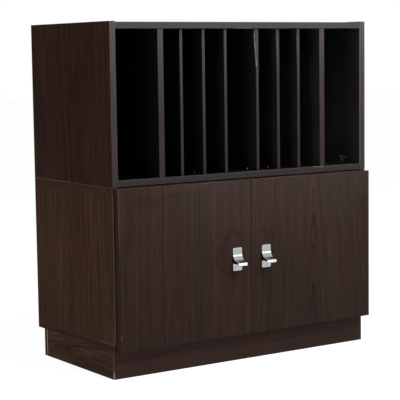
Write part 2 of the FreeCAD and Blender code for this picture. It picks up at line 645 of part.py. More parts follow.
frame_leaf = hinge_leaf("hinge_frame_leaf_left", 0, "(door_gap / 2 - leaf_thick)", frame_screw_holes)
door_leaf = hinge_leaf("hinge_door_leaf_left", 1, "(-door_gap / 2)", door_screw_holes)
keep(mirrored("hinge_frame_leaf_right", frame_leaf), "hinge_frame_leaf_right")
keep(mirrored("hinge_door_leaf_right", door_leaf), "hinge_door_leaf_right")
hinge_pin = pin("hinge_pin_left", "hinge_pin_rad", HINGE_LONG)
place(hinge_pin, ("-width / 2", HINGE_Y, HINGE_LOW))
keep(hinge_pin, "hinge_pin_left")
keep(mirrored("hinge_pin_right", hinge_pin), "hinge_pin_right")

# ---------------------------------------------------------------- catches and strike plates

CATCH_LOW = f"({LOWER_CEILING} - catch_high)"
CATCH_FRONT = f"({DOOR_BACK} + strike_thick + magnet_play + magnet_out)"
MAGNET_LOW = f"({CATCH_LOW} + (catch_high - magnet_high) / 2)"
catch_screw, catch_screw_hole = screw(
    "catch_screw", "wood_screw_rad", "wood_head_rad", WOOD_HEAD, "catch_ear_high + catch_screw_bite", flat=True)
left_catch_screws = [
    ((f"-catch_out {side} (catch_body + catch_ear) / 2", f"{CATCH_FRONT} + catch_screw_in",
      f"{LOWER_CEILING} - catch_ear_high"), TO_UP)
    for side in "-+"
]
catch_screw_places = both_sides(left_catch_screws)
keep(copies("catch_screws", catch_screw, catch_screw_places), "catch_screws")
catch_screw_holes = copies("catch_screw_holes", catch_screw_hole, catch_screw_places)


def magnetic_catch():
    """The left catch's body: a block with an ear each side, and a mouth for the magnet."""
    body = new_body("catch_blank", ("-catch_out - catch_body / 2 - catch_ear", CATCH_FRONT, CATCH_LOW))
    sketch = sketch_on(body, "XZ_Plane", "-catch_deep")
    ear, inner, ledge = "catch_ear", "(catch_ear + catch_body)", "(catch_high - catch_ear_high)"
    draw_outline(sketch, [(ear, "0"), (inner, "0"), (inner, ledge), (f"{inner} + {ear}", ledge),
                          (f"{inner} + {ear}", "catch_high"), ("0", "catch_high"), ("0", ledge), (ear, ledge)])
    pad(body, sketch, "catch_deep")
    mouth = doc.addObject("Part::Box", "catch_mouth")
    bind(mouth, Length="magnet_wide", Width="magnet_deep", Height="magnet_high")
    place(mouth, ("-catch_out - magnet_wide / 2", CATCH_FRONT, MAGNET_LOW))
    return cut("catch", body, [mouth, catch_screw_holes])


catch = magnetic_catch()
keep(together("catch_housings", [catch, mirrored("catch_right", catch)]), "catch_housings")
magnet = board("catch_magnet", ("-catch_out - magnet_wide / 2", f"{CATCH_FRONT} - magnet_out", MAGNET_LOW),
               ("magnet_wide", "magnet_deep + magnet_out", "magnet_high"))
keep(together("catch_magnets", [magnet, mirrored("catch_magnet_right", magnet)]), "catch_magnets")

strike_screw, strike_screw_hole = screw(
    "strike_screw", "leaf_screw_rad", "leaf_screw_rad + strike_thick", "strike_thick",
    "strike_thick + leaf_screw_bite", flat=True)
STRIKE_Z = f"({CATCH_LOW} + catch_high / 2)"
strike_places = [(("-catch_out", f"{DOOR_BACK} + strike_thick", STRIKE_Z), TO_FRONT)]
strike_screw_left = keep(copies("strike_screw_left", strike_screw, strike_places), "strike_screw_left")
keep(mirrored("strike_screw_right", strike_screw_left), "strike_screw_right")
strike_holes = copies("strike_holes", strike_screw_hole, strike_places)
strike_blank = board("strike_blank", ("-catch_out - strike_wide / 2", DOOR_BACK, f"{STRIKE_Z} - strike_high / 2"),
                     ("strike_wide", "strike_thick", "strike_high"))
strike_plate = keep(cut("strike_plate_left", strike_blank, [strike_holes]), "strike_plate_left")
keep(mirrored("strike_plate_right", strike_plate), "strike_plate_right")

# ---------------------------------------------------------------- handles and doors

handle_screw, handle_screw_hole = screw(
    "handle_screw", "handle_screw_rad", "handle_screw_head", "handle_screw_high",
    "handle_screw_high + door_thick - boss_long + handle_screw_bite", flat=False)
boss = pin("boss", "boss_rad", "boss_long")
boss_hole = pin("boss_hole", "boss_rad", "boss_long", "fit_play")
BOSS_HEIGHTS = ("(handle_web - handle_bend) / 2", "(handle_high - handle_upper_foot / 2)")


def handle_body(name, centre):
    """A handle of one metal strip: upper foot, finger sweep, lip, web and lower foot, seen from its end.

    Its own +Y points out of the door.
    """
    at = (f"{centre} + handle_wide / 2", f"{DOOR_BACK} - door_thick", HANDLE_LOW)
    body = new_body(name, at, Rotation(Vector(0, 0, 1), 180))
    sketch = sketch_on(body, "YZ_Plane")
    metal, lip = "handle_thick", "(handle_lip / 2)"
    hub_y, hub_z = "(handle_thick + handle_sweep)", "(handle_high - handle_upper_foot)"
    shoulder = f"({hub_z} - handle_sweep)"
    bend, bend_z, hollow = "handle_bend", "(handle_web - handle_bend)", "handle_hollow"
    hollow_z = f"({hub_z} - sqrt({hub_y}^2 - ({hub_y} - {hollow})^2))"
    draw_outline(
        sketch,
        [("0", "handle_high"), (metal, "handle_high"), (metal, hub_z),
         (hub_y, shoulder), (f"handle_reach - {lip}", shoulder), ("handle_reach", f"{shoulder} - {lip}"),
         ("handle_reach", f"handle_lip_low + {lip}"), ("handle_reach - handle_lip", f"handle_lip_low + {lip}"),
         ("handle_reach - handle_lip", "handle_web - handle_thick"), (bend, "handle_web - handle_thick"),
         (metal, bend_z), (metal, "0"), ("0", "0"), ("0", bend_z),
         (bend, "handle_web"), (hollow, "handle_web"), (hollow, hollow_z), ("0", hub_z)],
        {2: (hub_y, hub_z, "left"),
         4: (f"handle_reach - {lip}", f"{shoulder} - {lip}", "right"),
         6: (f"handle_reach - {lip}", f"handle_lip_low + {lip}", "right"),
         9: (bend, bend_z, "left"),
         13: (bend, bend_z, "right"),
         16: (hub_y, hub_z, "right")})
    strip = pad(body, sketch, "handle_wide")
    doc.recompute()
    corners = []
    for index, edge in enumerate(strip.Shape.Edges, start=1):
        box = edge.BoundBox
        at_end = min(box.ZMax, number("handle_high") - box.ZMin) < 0.001
        along_y = box.XLength < 0.001 and box.ZLength < 0.001
        if at_end and along_y:
            corners.append(f"Edge{index}")
    rounding = body.newObject("PartDesign::Fillet", f"{name}_corners")
    rounding.Base = (strip, corners)
    bind(rounding, Radius="handle_corner")
    return body


def make_door(side, left_edge, centre, hinge_holes, plate_holes):
    """A door with its handle and the handle's screws."""
    boss_places = [((centre, f"{DOOR_BACK} - door_thick", f"{HANDLE_LOW} + {height}"), TO_BACK)
                   for height in BOSS_HEIGHTS]
    screw_places = [((centre, f"{DOOR_BACK} + handle_screw_high", f"{HANDLE_LOW} + {height}"), TO_FRONT)
                    for height in BOSS_HEIGHTS]
    screws = keep(copies(f"handle_screws_{side}", handle_screw, screw_places), f"handle_screws_{side}")
    screw_holes = copies(f"handle_screw_holes_{side}", handle_screw_hole, screw_places)
    strip = handle_body(f"handle_strip_{side}", centre)
    solid = doc.addObject("Part::MultiFuse", f"handle_solid_{side}")
    solid.Shapes = [strip, copies(f"bosses_{side}", boss, boss_places)]
    keep(cut(f"handle_{side}", solid, [screw_holes]), f"handle_{side}")
    blank = board(f"door_blank_{side}", (left_edge, f"{DOOR_BACK} - door_thick", f"{LOWER} + door_end_gap"),
                  (DOOR_WIDE, "door_thick", DOOR_HIGH))
    boss_holes = copies(f"boss_holes_{side}", boss_hole, boss_places)
    keep(cut(f"door_{side}", blank, [screw_holes, boss_holes, hinge_holes, plate_holes]), f"door_{side}")
    return screws


make_door("left", "door_reveal - width / 2", "(-door_meeting_gap / 2 - handle_in)",
          door_screw_holes, strike_holes)
make_door("right", "door_meeting_gap / 2", "(door_meeting_gap / 2 + handle_in)",
          mirrored("door_screw_holes_right", door_screw_holes), mirrored("strike_holes_right", strike_holes))

# ---------------------------------------------------------------- plinth

PLINTH_LEFT = "(plinth_side_in - width / 2)"
PLINTH_FRONT = f"({FRONT} + plinth_front_in)"
PLINTH_WIDE = "(width - 2 * plinth_side_in)"
PLINTH_DEEP = "(carcass_deep - plinth_front_in - plinth_back_in)"
keep(prism("plinth_front", (PLINTH_LEFT, PLINTH_FRONT, "0"),
           [("0", "0"), (PLINTH_WIDE, "0"), (f"{PLINTH_WIDE} - board", "board"), ("board", "board")], "plinth_high"),
     "plinth_front")
plinth_side = keep(prism("plinth_side_left", (PLINTH_LEFT, PLINTH_FRONT, "0"),
                         [("0", "0"), ("board", "board"), ("board", f"{PLINTH_DEEP} - board"),
                          ("0", f"{PLINTH_DEEP} - board")], "plinth_high"), "plinth_side_left")
keep(mirrored("plinth_side_right", plinth_side), "plinth_side_right")
keep(board("plinth_back", (PLINTH_LEFT, f"{PLINTH_FRONT} + {PLINTH_DEEP} - board", "0"),
           (PLINTH_WIDE, "board", "plinth_high")), "plinth_back")

BLOCK_LEFT = f"({PLINTH_LEFT} + board)"
BLOCK_FRONT = f"({PLINTH_FRONT} + board)"
BLOCK_BACK = f"({PLINTH_FRONT} + {PLINTH_DEEP} - board)"
BLOCK_LOW = "(plinth_high - plinth_block_high)"
BLOCK_SCREW = "(plinth_block / 3)"
block_screw, block_screw_hole = screw(
    "block_screw", "block_screw_rad", "2 * block_screw_rad", "block_screw_rad",
    "plinth_block_high + block_screw_bite", flat=True)
block_screw_places = both_sides([
    ((f"{BLOCK_LEFT} + {BLOCK_SCREW}", f"{BLOCK_FRONT} + {BLOCK_SCREW}", BLOCK_LOW), TO_UP),
    ((f"{BLOCK_LEFT} + {BLOCK_SCREW}", f"{BLOCK_BACK} - {BLOCK_SCREW}", BLOCK_LOW), TO_UP),
])
keep(copies("plinth_screws", block_screw, block_screw_places), "plinth_screws")
block_screw_holes = copies("block_screw_holes", block_screw_hole, block_screw_places)
front_block = prism("front_block", (BLOCK_LEFT, BLOCK_FRONT, BLOCK_LOW),
                    [("0", "0"), ("plinth_block", "0"), ("0", "plinth_block")], "plinth_block_high")
back_block = prism("back_block", (BLOCK_LEFT, f"{BLOCK_BACK} - plinth_block", BLOCK_LOW),
                   [("0", "0"), ("plinth_block", "plinth_block"), ("0", "plinth_block")], "plinth_block_high")
left_blocks = cut("left_blocks", together("left_block_blanks", [front_block, back_block]), [block_screw_holes])
keep(together("plinth_corner_blocks", [left_blocks, mirrored("right_blocks", left_blocks)]), "plinth_corner_blocks")

# ---------------------------------------------------------------- lower carcass

lower_side = board("lower_side_blank", ("-width / 2", PANEL_FRONT, LOWER_FLOOR), ("board", PANEL_DEEP, LOWER_CLEAR))
lower_side_band = board("lower_side_band_blank", ("-width / 2", FRONT, LOWER_FLOOR),
                        ("board", "band_thick", LOWER_CLEAR))
lower_side_left = keep(cut("lower_side_left", lower_side,
                           [lower_groove, lower_dowel_holes, shelf_holes, frame_screw_holes]), "lower_side_left")
keep(mirrored("lower_side_right", lower_side_left), "lower_side_right")
lower_side_band = cut("lower_side_band", lower_side_band, [frame_screw_holes])

for label, level, holes in (
    ("lower_bottom_panel", LOWER, [block_screw_holes]),
    ("lower_top_panel", LOWER_CEILING, [joiner_holes, catch_screw_holes]),
):
    blank = board(f"{label}_blank", ("-width / 2", LOWER_PANEL_FRONT, level), ("width", LOWER_PANEL_DEEP, "board"))
    keep(cut(label, blank, [lower_groove, lower_dowel_holes] + holes), label)
keep(together("lower_edge_bands", [
    lower_side_band,
    mirrored("lower_side_band_right", lower_side_band),
    board("lower_bottom_band", ("-width / 2", f"{FRONT} + lower_set_back", LOWER), ("width", "band_thick", "board")),
    board("lower_top_band", ("-width / 2", f"{FRONT} + lower_set_back", LOWER_CEILING),
          ("width", "band_thick", "board")),
]), "lower_edge_bands")

# ---------------------------------------------------------------- check and write

doc.recompute()
failed = [thing.Label for thing in doc.Objects if {"Invalid", "Error"} & set(thing.State)]
if failed:
    raise RuntimeError(f"failed objects: {failed}")
os.makedirs("parts", exist_ok=True)
for thing in subparts:
    shape = thing.Shape
    if shape.isNull() or not shape.isValid() or not shape.Solids:
        raise RuntimeError(f"{thing.Label} has no valid shape")
for thing in subparts:
    thing.Shape.exportStep(os.path.join("parts", f"{thing.Label}.step"))
    box = thing.Shape.BoundBox
    print(f"{thing.Label:26s} {len(thing.Shape.Solids):3d} solids  "
          f"x {box.XMin:8.2f} {box.XMax:8.2f}  y {box.YMin:8.2f} {box.YMax:8.2f}  z {box.ZMin:7.2f} {box.ZMax:7.2f}")
print(len(subparts), "sub-parts")
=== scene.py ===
import json
import math

import bpy
from mathutils import Euler, Matrix, Vector

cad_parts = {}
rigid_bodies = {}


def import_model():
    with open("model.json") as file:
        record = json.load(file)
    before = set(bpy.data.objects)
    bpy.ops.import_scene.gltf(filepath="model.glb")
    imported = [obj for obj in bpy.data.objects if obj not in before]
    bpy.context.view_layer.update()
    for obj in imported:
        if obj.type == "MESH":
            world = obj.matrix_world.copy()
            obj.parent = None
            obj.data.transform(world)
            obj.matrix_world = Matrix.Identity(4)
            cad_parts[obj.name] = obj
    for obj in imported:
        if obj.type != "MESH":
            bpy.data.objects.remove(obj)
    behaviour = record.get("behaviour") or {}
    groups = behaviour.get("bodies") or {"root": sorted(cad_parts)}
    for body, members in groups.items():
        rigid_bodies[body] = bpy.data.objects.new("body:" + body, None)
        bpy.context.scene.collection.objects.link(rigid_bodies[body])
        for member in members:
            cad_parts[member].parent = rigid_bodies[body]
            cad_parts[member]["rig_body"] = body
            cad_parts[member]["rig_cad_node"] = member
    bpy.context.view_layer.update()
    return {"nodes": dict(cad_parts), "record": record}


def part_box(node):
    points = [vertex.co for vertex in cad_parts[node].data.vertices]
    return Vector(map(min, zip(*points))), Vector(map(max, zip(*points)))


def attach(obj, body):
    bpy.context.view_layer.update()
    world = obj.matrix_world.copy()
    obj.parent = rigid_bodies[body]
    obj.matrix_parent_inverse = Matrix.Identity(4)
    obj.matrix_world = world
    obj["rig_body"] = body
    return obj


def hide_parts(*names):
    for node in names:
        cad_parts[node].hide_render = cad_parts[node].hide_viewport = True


# A record cabinet: an open module with sleeve dividers stands on a cupboard with two doors and a plinth.
# Metres, +Z up. The front faces -Y, and the origin is on the floor under the cabinet's middle.

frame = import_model()
bpy.ops.object.select_all(action="DESELECT")

NODES = frame["nodes"]
MM = 0.001
BOARD = 16 * MM         # thickness of the carcass boards
SKIN = 0.2 * MM         # how near a face has to lie to a plane to belong to it
EDGE_SKIN = SKIN / 4    # how near a sharp edge has to lie to its box's edge

SIDES = ("left", "right")
THIN_DIVIDERS = tuple(f"divider_thin_{number}" for number in range(1, 7))
DIVIDERS = ("divider_wide_left", "divider_wide_right") + THIN_DIVIDERS

WELD = 0.01 * MM     # corners nearer to each other than this become one
FLAT_ANGLE = 0.5     # degrees up to which two faces are one flat face
SHARP_ANGLE = 50     # degrees from which an edge is an arris
SMOOTH_ANGLE = 35    # degrees up to which neighbouring faces are shaded as one
EASING_STEPS = 3     # faces across a rounded arris
DOOR_EASING = 0.7 * MM
HANDLE_EASING = 0.5 * MM

LIP_THICK = 3.4 * MM
GRIP_HEIGHTS = (12 * MM, 44 * MM)    # between which a handle's lip, web and sweep lie
SWEEP_LIFT = 1.9 * MM                # how much higher they lie than in the solid
LIP_LEAN = 0.22                      # how far the lip's front leans back, for its height

FOIL_THICK = 0.4 * MM
FOIL_OFF = SKIN / 4       # room between the foil and its board where it isn't loose
FOIL_AHEAD = 3.6 * MM     # how far the loose foil reaches in front of its divider's board
LOOSE_LENGTH = 97 * MM    # how far down the dividers the foil has come off
LOOSE_DEPTH = 30 * MM     # and how far back
FOIL_CELLS = (40, 10)     # faces down the loose foil, and back
PEEL_CURVE = 1.3          # how sharply it curls away towards its free edge

BRIGHT_PINS = (-0.12305, 0.04505, 0.11245)    # where the lower divider pins keep their zinc; elsewhere the pins are darkened as painted shade
PIN_REACH = 3 * MM
UPPER_HALF = 0.7    # height above which the upper module's fittings are those at its ceiling


# ---------------------------------------------------------------- camera, lamps and floor

CAMERA_AT = (-2.0721, -3.0395, 0.7916)
CAMERA_TURN = 33.972    # degrees from straight ahead to the right
CAMERA_TILT = 5.997     # degrees down
CAMERA_ROLL = 0.796
CAMERA_LENS = 123.63
CAMERA_SENSOR = 36
CAMERA_REACH = 100

ROOM_GLOW = 0.14       # light of the studio's walls on the cabinet
FLOOR_SIZE = 40
FLOOR_WHITE = 0.95     # what the floor gives the camera where no lamp reaches it
FLOOR_SHADE = 0.20     # share of the lamps' light that shows on the floor
FLOOR_BOUNCE = 0.35    # share of the light that the floor throws back on the cabinet

STRIP_COLOUR = (0.93, 0.96, 1.0)


def set_up_camera():
    camera = bpy.data.objects.new("camera", bpy.data.cameras.new("camera"))
    bpy.context.scene.collection.objects.link(camera)
    aim = Euler((math.radians(90 - CAMERA_TILT), 0, -math.radians(CAMERA_TURN))).to_matrix().to_4x4()
    roll = Matrix.Rotation(-math.radians(CAMERA_ROLL), 4, "Z")
    camera.matrix_world = Matrix.Translation(CAMERA_AT) @ aim @ roll
    camera.data.lens = CAMERA_LENS
    camera.data.sensor_width = CAMERA_SENSOR
    camera.data.clip_end = CAMERA_REACH
    bpy.context.scene.camera = camera


def soft_lamp(name, at, towards, size, power, colour=True, sheen=True):
    """A soft box that isn't seen itself. It gives surfaces their colour, their sheen, or both."""
    bpy.ops.object.light_add(type="AREA", location=at)
    lamp = bpy.context.object
    lamp.name = name
    lamp.rotation_euler = (Vector(towards) - Vector(at)).to_track_quat("-Z", "Y").to_euler()
    lamp.data.shape = "RECTANGLE"
    lamp.data.size, lamp.data.size_y = size
    lamp.data.energy = power
    lamp.visible_camera = False
    lamp.visible_diffuse = colour
    lamp.visible_glossy = sheen
    return lamp


def keep_lamp(lamp, pieces, way):
    """The way INCLUDE keeps a lamp's light to some pieces, and EXCLUDE keeps it off them."""
    lit = bpy.data.collections.new(f"{lamp.name}_pieces")
    for piece in pieces:
        lit.objects.link(piece)
    lamp.light_linking.receiver_collection = lit
    for entry in lit.collection_objects:
        entry.light_linking.link_state = way


def seen_directly(tree):
    """1 for rays that show the background, straight or in metal and glass."""
    path = tree.nodes.new("ShaderNodeLightPath")
    seen = path.outputs["Is Camera Ray"]
    for kind in ("Is Glossy Ray", "Is Transmission Ray"):
        larger = tree.nodes.new("ShaderNodeMath")
        larger.operation = "MAXIMUM"
        tree.links.new(seen, larger.inputs[0])
        tree.links.new(path.outputs[kind], larger.inputs[1])
        seen = larger.outputs[0]
    return seen


def set_up_room():
    """White to the eye, and a weaker even light on the cabinet."""
    world = bpy.data.worlds.new("studio")
    bpy.context.scene.world = world
    world.use_nodes = True
    background = world.node_tree.nodes["Background"]
    background.inputs["Color"].default_value = (1, 1, 1, 1)
    strength = world.node_tree.nodes.new("ShaderNodeMapRange")
    strength.inputs["To Min"].default_value = ROOM_GLOW
    strength.inputs["To Max"].default_value = 1
    world.node_tree.links.new(seen_directly(world.node_tree), strength.inputs["Value"])
    world.node_tree.links.new(strength.outputs["Result"], background.inputs["Strength"])


def lay_floor():
    bpy.ops.mesh.primitive_plane_add(size=FLOOR_SIZE)
    floor = bpy.context.object
    floor.name = "floor"
    material = bpy.data.materials.new("studio_floor")
    material.use_nodes = True
    tree = material.node_tree
    tree.nodes.clear()

    def shader(kind, colour, strength=None):
        node = tree.nodes.new(kind)
        node.inputs["Color"].default_value = (colour, colour, colour, 1)
        if strength is not None:
            node.inputs["Strength"].default_value = strength
        return node.outputs[0]

    shown = tree.nodes.new("ShaderNodeAddShader")
    tree.links.new(shader("ShaderNodeEmission", 1, FLOOR_WHITE), shown.inputs[0])
    tree.links.new(shader("ShaderNodeBsdfDiffuse", FLOOR_SHADE), shown.inputs[1])
    either = tree.nodes.new("ShaderNodeMixShader")
    tree.links.new(seen_directly(tree), either.inputs[0])
    tree.links.new(shader("ShaderNodeBsdfDiffuse", FLOOR_BOUNCE), either.inputs[1])
    tree.links.new(shown.outputs[0], either.inputs[2])
    output = tree.nodes.new("ShaderNodeOutputMaterial")
    tree.links.new(either.outputs[0], output.inputs["Surface"])
    floor.data.materials.append(material)


# ---------------------------------------------------------------- finishes

def tone(red, green, blue):
    """A colour from its three screen values, 0 to 255."""
    def linear(value):
        share = value / 255
        return share / 12.92 if share <= 0.04045 else ((share + 0.055) / 1.055) ** 2.4
    return (linear(red), linear(green), linear(blue), 1.0)


RED_BROWN = tone(57, 38, 30)
GREY_BROWN = tone(46, 36, 31)
DARK_VEIN = tone(28, 21, 18)
WORN_EDGE = tone(150, 126, 104)
# painted highlight for lit door arrises
ARRIS_HIGHLIGHT = tone(84, 68, 60)
HAND_GREASE = tone(36, 20, 12)

# thin divider: how far its foil stands out, how far down it does so most, and the colours of the board
# behind it and of the lipping that came off with it
LOOSE_FOILS = {
    # divider 4's bare board and lipping are real, but painted far paler as painted light in the shaded gap
    4: (6.0 * MM, 16 * MM, tone(236, 218, 192), tone(202, 188, 172)),
    5: (2.6 * MM, 5 * MM, tone(120, 110, 108), tone(112, 106, 102)),
    6: (2.6 * MM, 5 * MM, tone(120, 110, 108), tone(112, 106, 102)),
}

# between these two, noise has most of its values
SPREAD = (0.3, 0.7)
WIDE_SPREAD = (0.25, 0.75)
WIDEST_SPREAD = (0.2, 0.8)


class Finish:
    """A material in the making: its shader, and the nodes that feed it."""

    COLOUR_MIX = (0, 6, 7)    # the mix node's sockets for the share and the two colours

    def __init__(self, name, roughness, gloss, metal=0.0):
        self.material = bpy.data.materials.new(name)
        self.material.use_nodes = True
        self.tree = self.material.node_tree
        self.shader = self.tree.nodes["Principled BSDF"]
        self.shader.inputs["Roughness"].default_value = roughness
        self.shader.inputs["Specular IOR Level"].default_value = gloss
        self.shader.inputs["Metallic"].default_value = metal
        self.place = self.tree.nodes.new("ShaderNodeTexCoord").outputs["Object"]
        parts = self.tree.nodes.new("ShaderNodeSeparateXYZ")
        self.tree.links.new(self.place, parts.inputs[0])
        self.axes = dict(zip("xyz", parts.outputs))

    def feed(self, socket, value):
        if isinstance(value, bpy.types.NodeSocket):
            self.tree.links.new(value, socket)
        else:
            socket.default_value = value

    def calc(self, operation, *values):
        node = self.tree.nodes.new("ShaderNodeMath")
        node.operation = operation
        for socket, value in zip(node.inputs, values):
            self.feed(socket, value)
        return node.outputs[0]

    def add(self, *values):
        total = values[0]
        for value in values[1:]:
            total = self.calc("ADD", total, value)
        return total

    def times(self, *values):
        product = values[0]
        for value in values[1:]:
            product = self.calc("MULTIPLY", product, value)
        return product

    def vector(self, x, y, z):
        node = self.tree.nodes.new("ShaderNodeCombineXYZ")
        for socket, value in zip(node.inputs, (x, y, z)):
            self.feed(socket, value)
        return node.outputs[0]

    def vector_calc(self, operation, first, second):
        node = self.tree.nodes.new("ShaderNodeVectorMath")
        node.operation = operation
        self.feed(node.inputs[0], first)
        self.feed(node.inputs[1], second)
        return node.outputs[0]

    def grain(self, along):
        """A board's places along its grain, and across it."""
        return self.axes[along], self.add(*[self.axes[axis] for axis in "xyz" if axis != along])

    def stretched(self, length, width, scales, seed=0.0):
        """Where noise is read that is fine across the grain and long along it."""
        return self.vector(self.times(width, scales[0]), self.times(length, scales[1]), seed)

    def noise(self, where, scale=1.0, detail=2.0, rough=0.5):
        """Soft noise from 0 to 1, in space or along one value."""
        node = self.tree.nodes.new("ShaderNodeTexNoise")
        flat = where.type == "VALUE"
        node.noise_dimensions = "1D" if flat else "3D"
        self.feed(node.inputs["W" if flat else "Vector"], where)
        node.inputs["Scale"].default_value = scale
        node.inputs["Detail"].default_value = detail
        node.inputs["Roughness"].default_value = rough
        return node.outputs[0]

    def fade(self, value, start, end, first=0.0, last=1.0):
        """first where the value is at start, last at end, and smooth between them."""
        node = self.tree.nodes.new("ShaderNodeMapRange")
        node.interpolation_type = "SMOOTHSTEP"
        for socket, number in zip(node.inputs, (value, start, end, first, last)):
            self.feed(socket, number)
        return node.outputs[0]

    def mix(self, share, first, second, how="MIX"):
        node = self.tree.nodes.new("ShaderNodeMix")
        node.data_type = "RGBA"
        node.blend_type = how
        for number, value in zip(self.COLOUR_MIX, (share, first, second)):
            self.feed(node.inputs[number], value)
        return node.outputs[2]

    def shade(self, colour, strength):
        """A colour made darker or lighter by a value."""
        grey = self.tree.nodes.new("ShaderNodeCombineColor")
        for socket in grey.inputs:
            self.feed(socket, strength)
        return self.mix(1.0, colour, grey.outputs[0], "MULTIPLY")

    def patch(self, low, high, soft, ragged, grain, turn):
        """1 inside a box and 0 outside it, with a soft or ragged border. It turns about its own Y."""
        low, high = Vector(low), Vector(high)
        middle = tuple((low + high) / 2)
        place = self.place
        if turn:
            node = self.tree.nodes.new("ShaderNodeVectorRotate")
            node.rotation_type = "Y_AXIS"
            for socket, value in (("Vector", place), ("Center", middle), ("Angle", turn)):
                self.feed(node.inputs[socket], value)
            place = node.outputs[0]
        away = self.vector_calc("SUBTRACT", place, middle)
        away = self.vector_calc("ABSOLUTE", away, (0, 0, 0))
        away = self.vector_calc("SUBTRACT", away, tuple((high - low) / 2))
        parts = self.tree.nodes.new("ShaderNodeSeparateXYZ")
        self.tree.links.new(away, parts.inputs[0])
        out = self.calc("MAXIMUM", parts.outputs[0], parts.outputs[1])
        out = self.calc("MAXIMUM", out, parts.outputs[2])
        if ragged:
            fray = self.noise(self.place, grain, detail=3, rough=0.6)
            out = self.add(out, self.times(self.add(fray, -0.5), 2 * ragged))
        return self.fade(out, -soft, soft, 1.0, 0.0)

    def wear(self, colour, marks):
        """A colour with its worn places laid over it."""
        for worn, share, box in marks:
            colour = self.mix(self.times(self.patch(**box), share), colour, worn)
        return colour

    def bump(self, height, depth):
        node = self.tree.nodes.new("ShaderNodeBump")
        node.inputs["Distance"].default_value = depth
        self.feed(node.inputs["Height"], height)
        self.tree.links.new(node.outputs["Normal"], self.shader.inputs["Normal"])

    def finish(self, colour, roughness=None):
        self.feed(self.shader.inputs["Base Color"], colour)
        if roughness is not None:
            self.feed(self.shader.inputs["Roughness"], roughness)
        return self.material


def mark(low, high, colour, share=1.0, soft=0.5 * MM, ragged=0.0, grain=400, turn=0.0):
    """A worn place between two corners: its colour, how much of it shows, and its box and border."""
    return colour, share, dict(low=low, high=high, soft=soft, ragged=ragged, grain=grain, turn=turn)


def streak(start, end, width, share, soft, ragged=0.0, grain=200, colour=HAND_GREASE):
    """A straight rub mark on a door, between two places given by x and z."""
    run, rise = end[0] - start[0], end[1] - start[1]
    x, z = (start[0] + end[0]) / 2, (start[1] + end[1]) / 2
    half = math.hypot(run, rise) / 2
    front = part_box("door_left")[0].y
    return mark((x - half, front - MM, z - width / 2), (x + half, front + MM, z + width / 2), colour,
                share=share, soft=soft, ragged=ragged, grain=grain, turn=math.atan2(rise, run))


# how many of each a metre of rosewood foil shows, and where two are given, across its grain and along it
HUES = 60.0
HUE_STREAKS = (75.0, 2.6)
VEINS = 45.0
LINES = 150.0
ARCH_RIMS = 210.0
FLECKS = (170.0, 6.0)
HAIRS = (900.0, 20.0)
PORES = (2600.0, 80.0)
CLOUDS = (9.0, 2.0)
SWAYS = (2.2, 0.9)
WAVERS = (20.0, 6.5)

SWAY_WIDE = 0.04     # how far the whole grain sways
FIRST_RING = 5.0     # keeps the rings' noise away from its own middle
ARCH_NEAR = 0.022    # the arches' lines are dark this near to the heart
ARCH_FAR = 0.050     # and gone this far from it
HAZE_HEIGHTS = (0.26, 0.50)
HAZE_WIDTHS = (-0.40, -0.12)
PORE_DEPTH = 0.04 * MM

LEFT_TO_RIGHT = (-0.30, 0.40)     # over this width the black laminate gets lighter, as painted light
FRONT_TO_MIDDLE = (-0.16, 0.0)    # and over this depth, also as painted light

SCREEN_WIRES = 3000.0    # the wave of the screen's print in the hardboard, in radians a metre


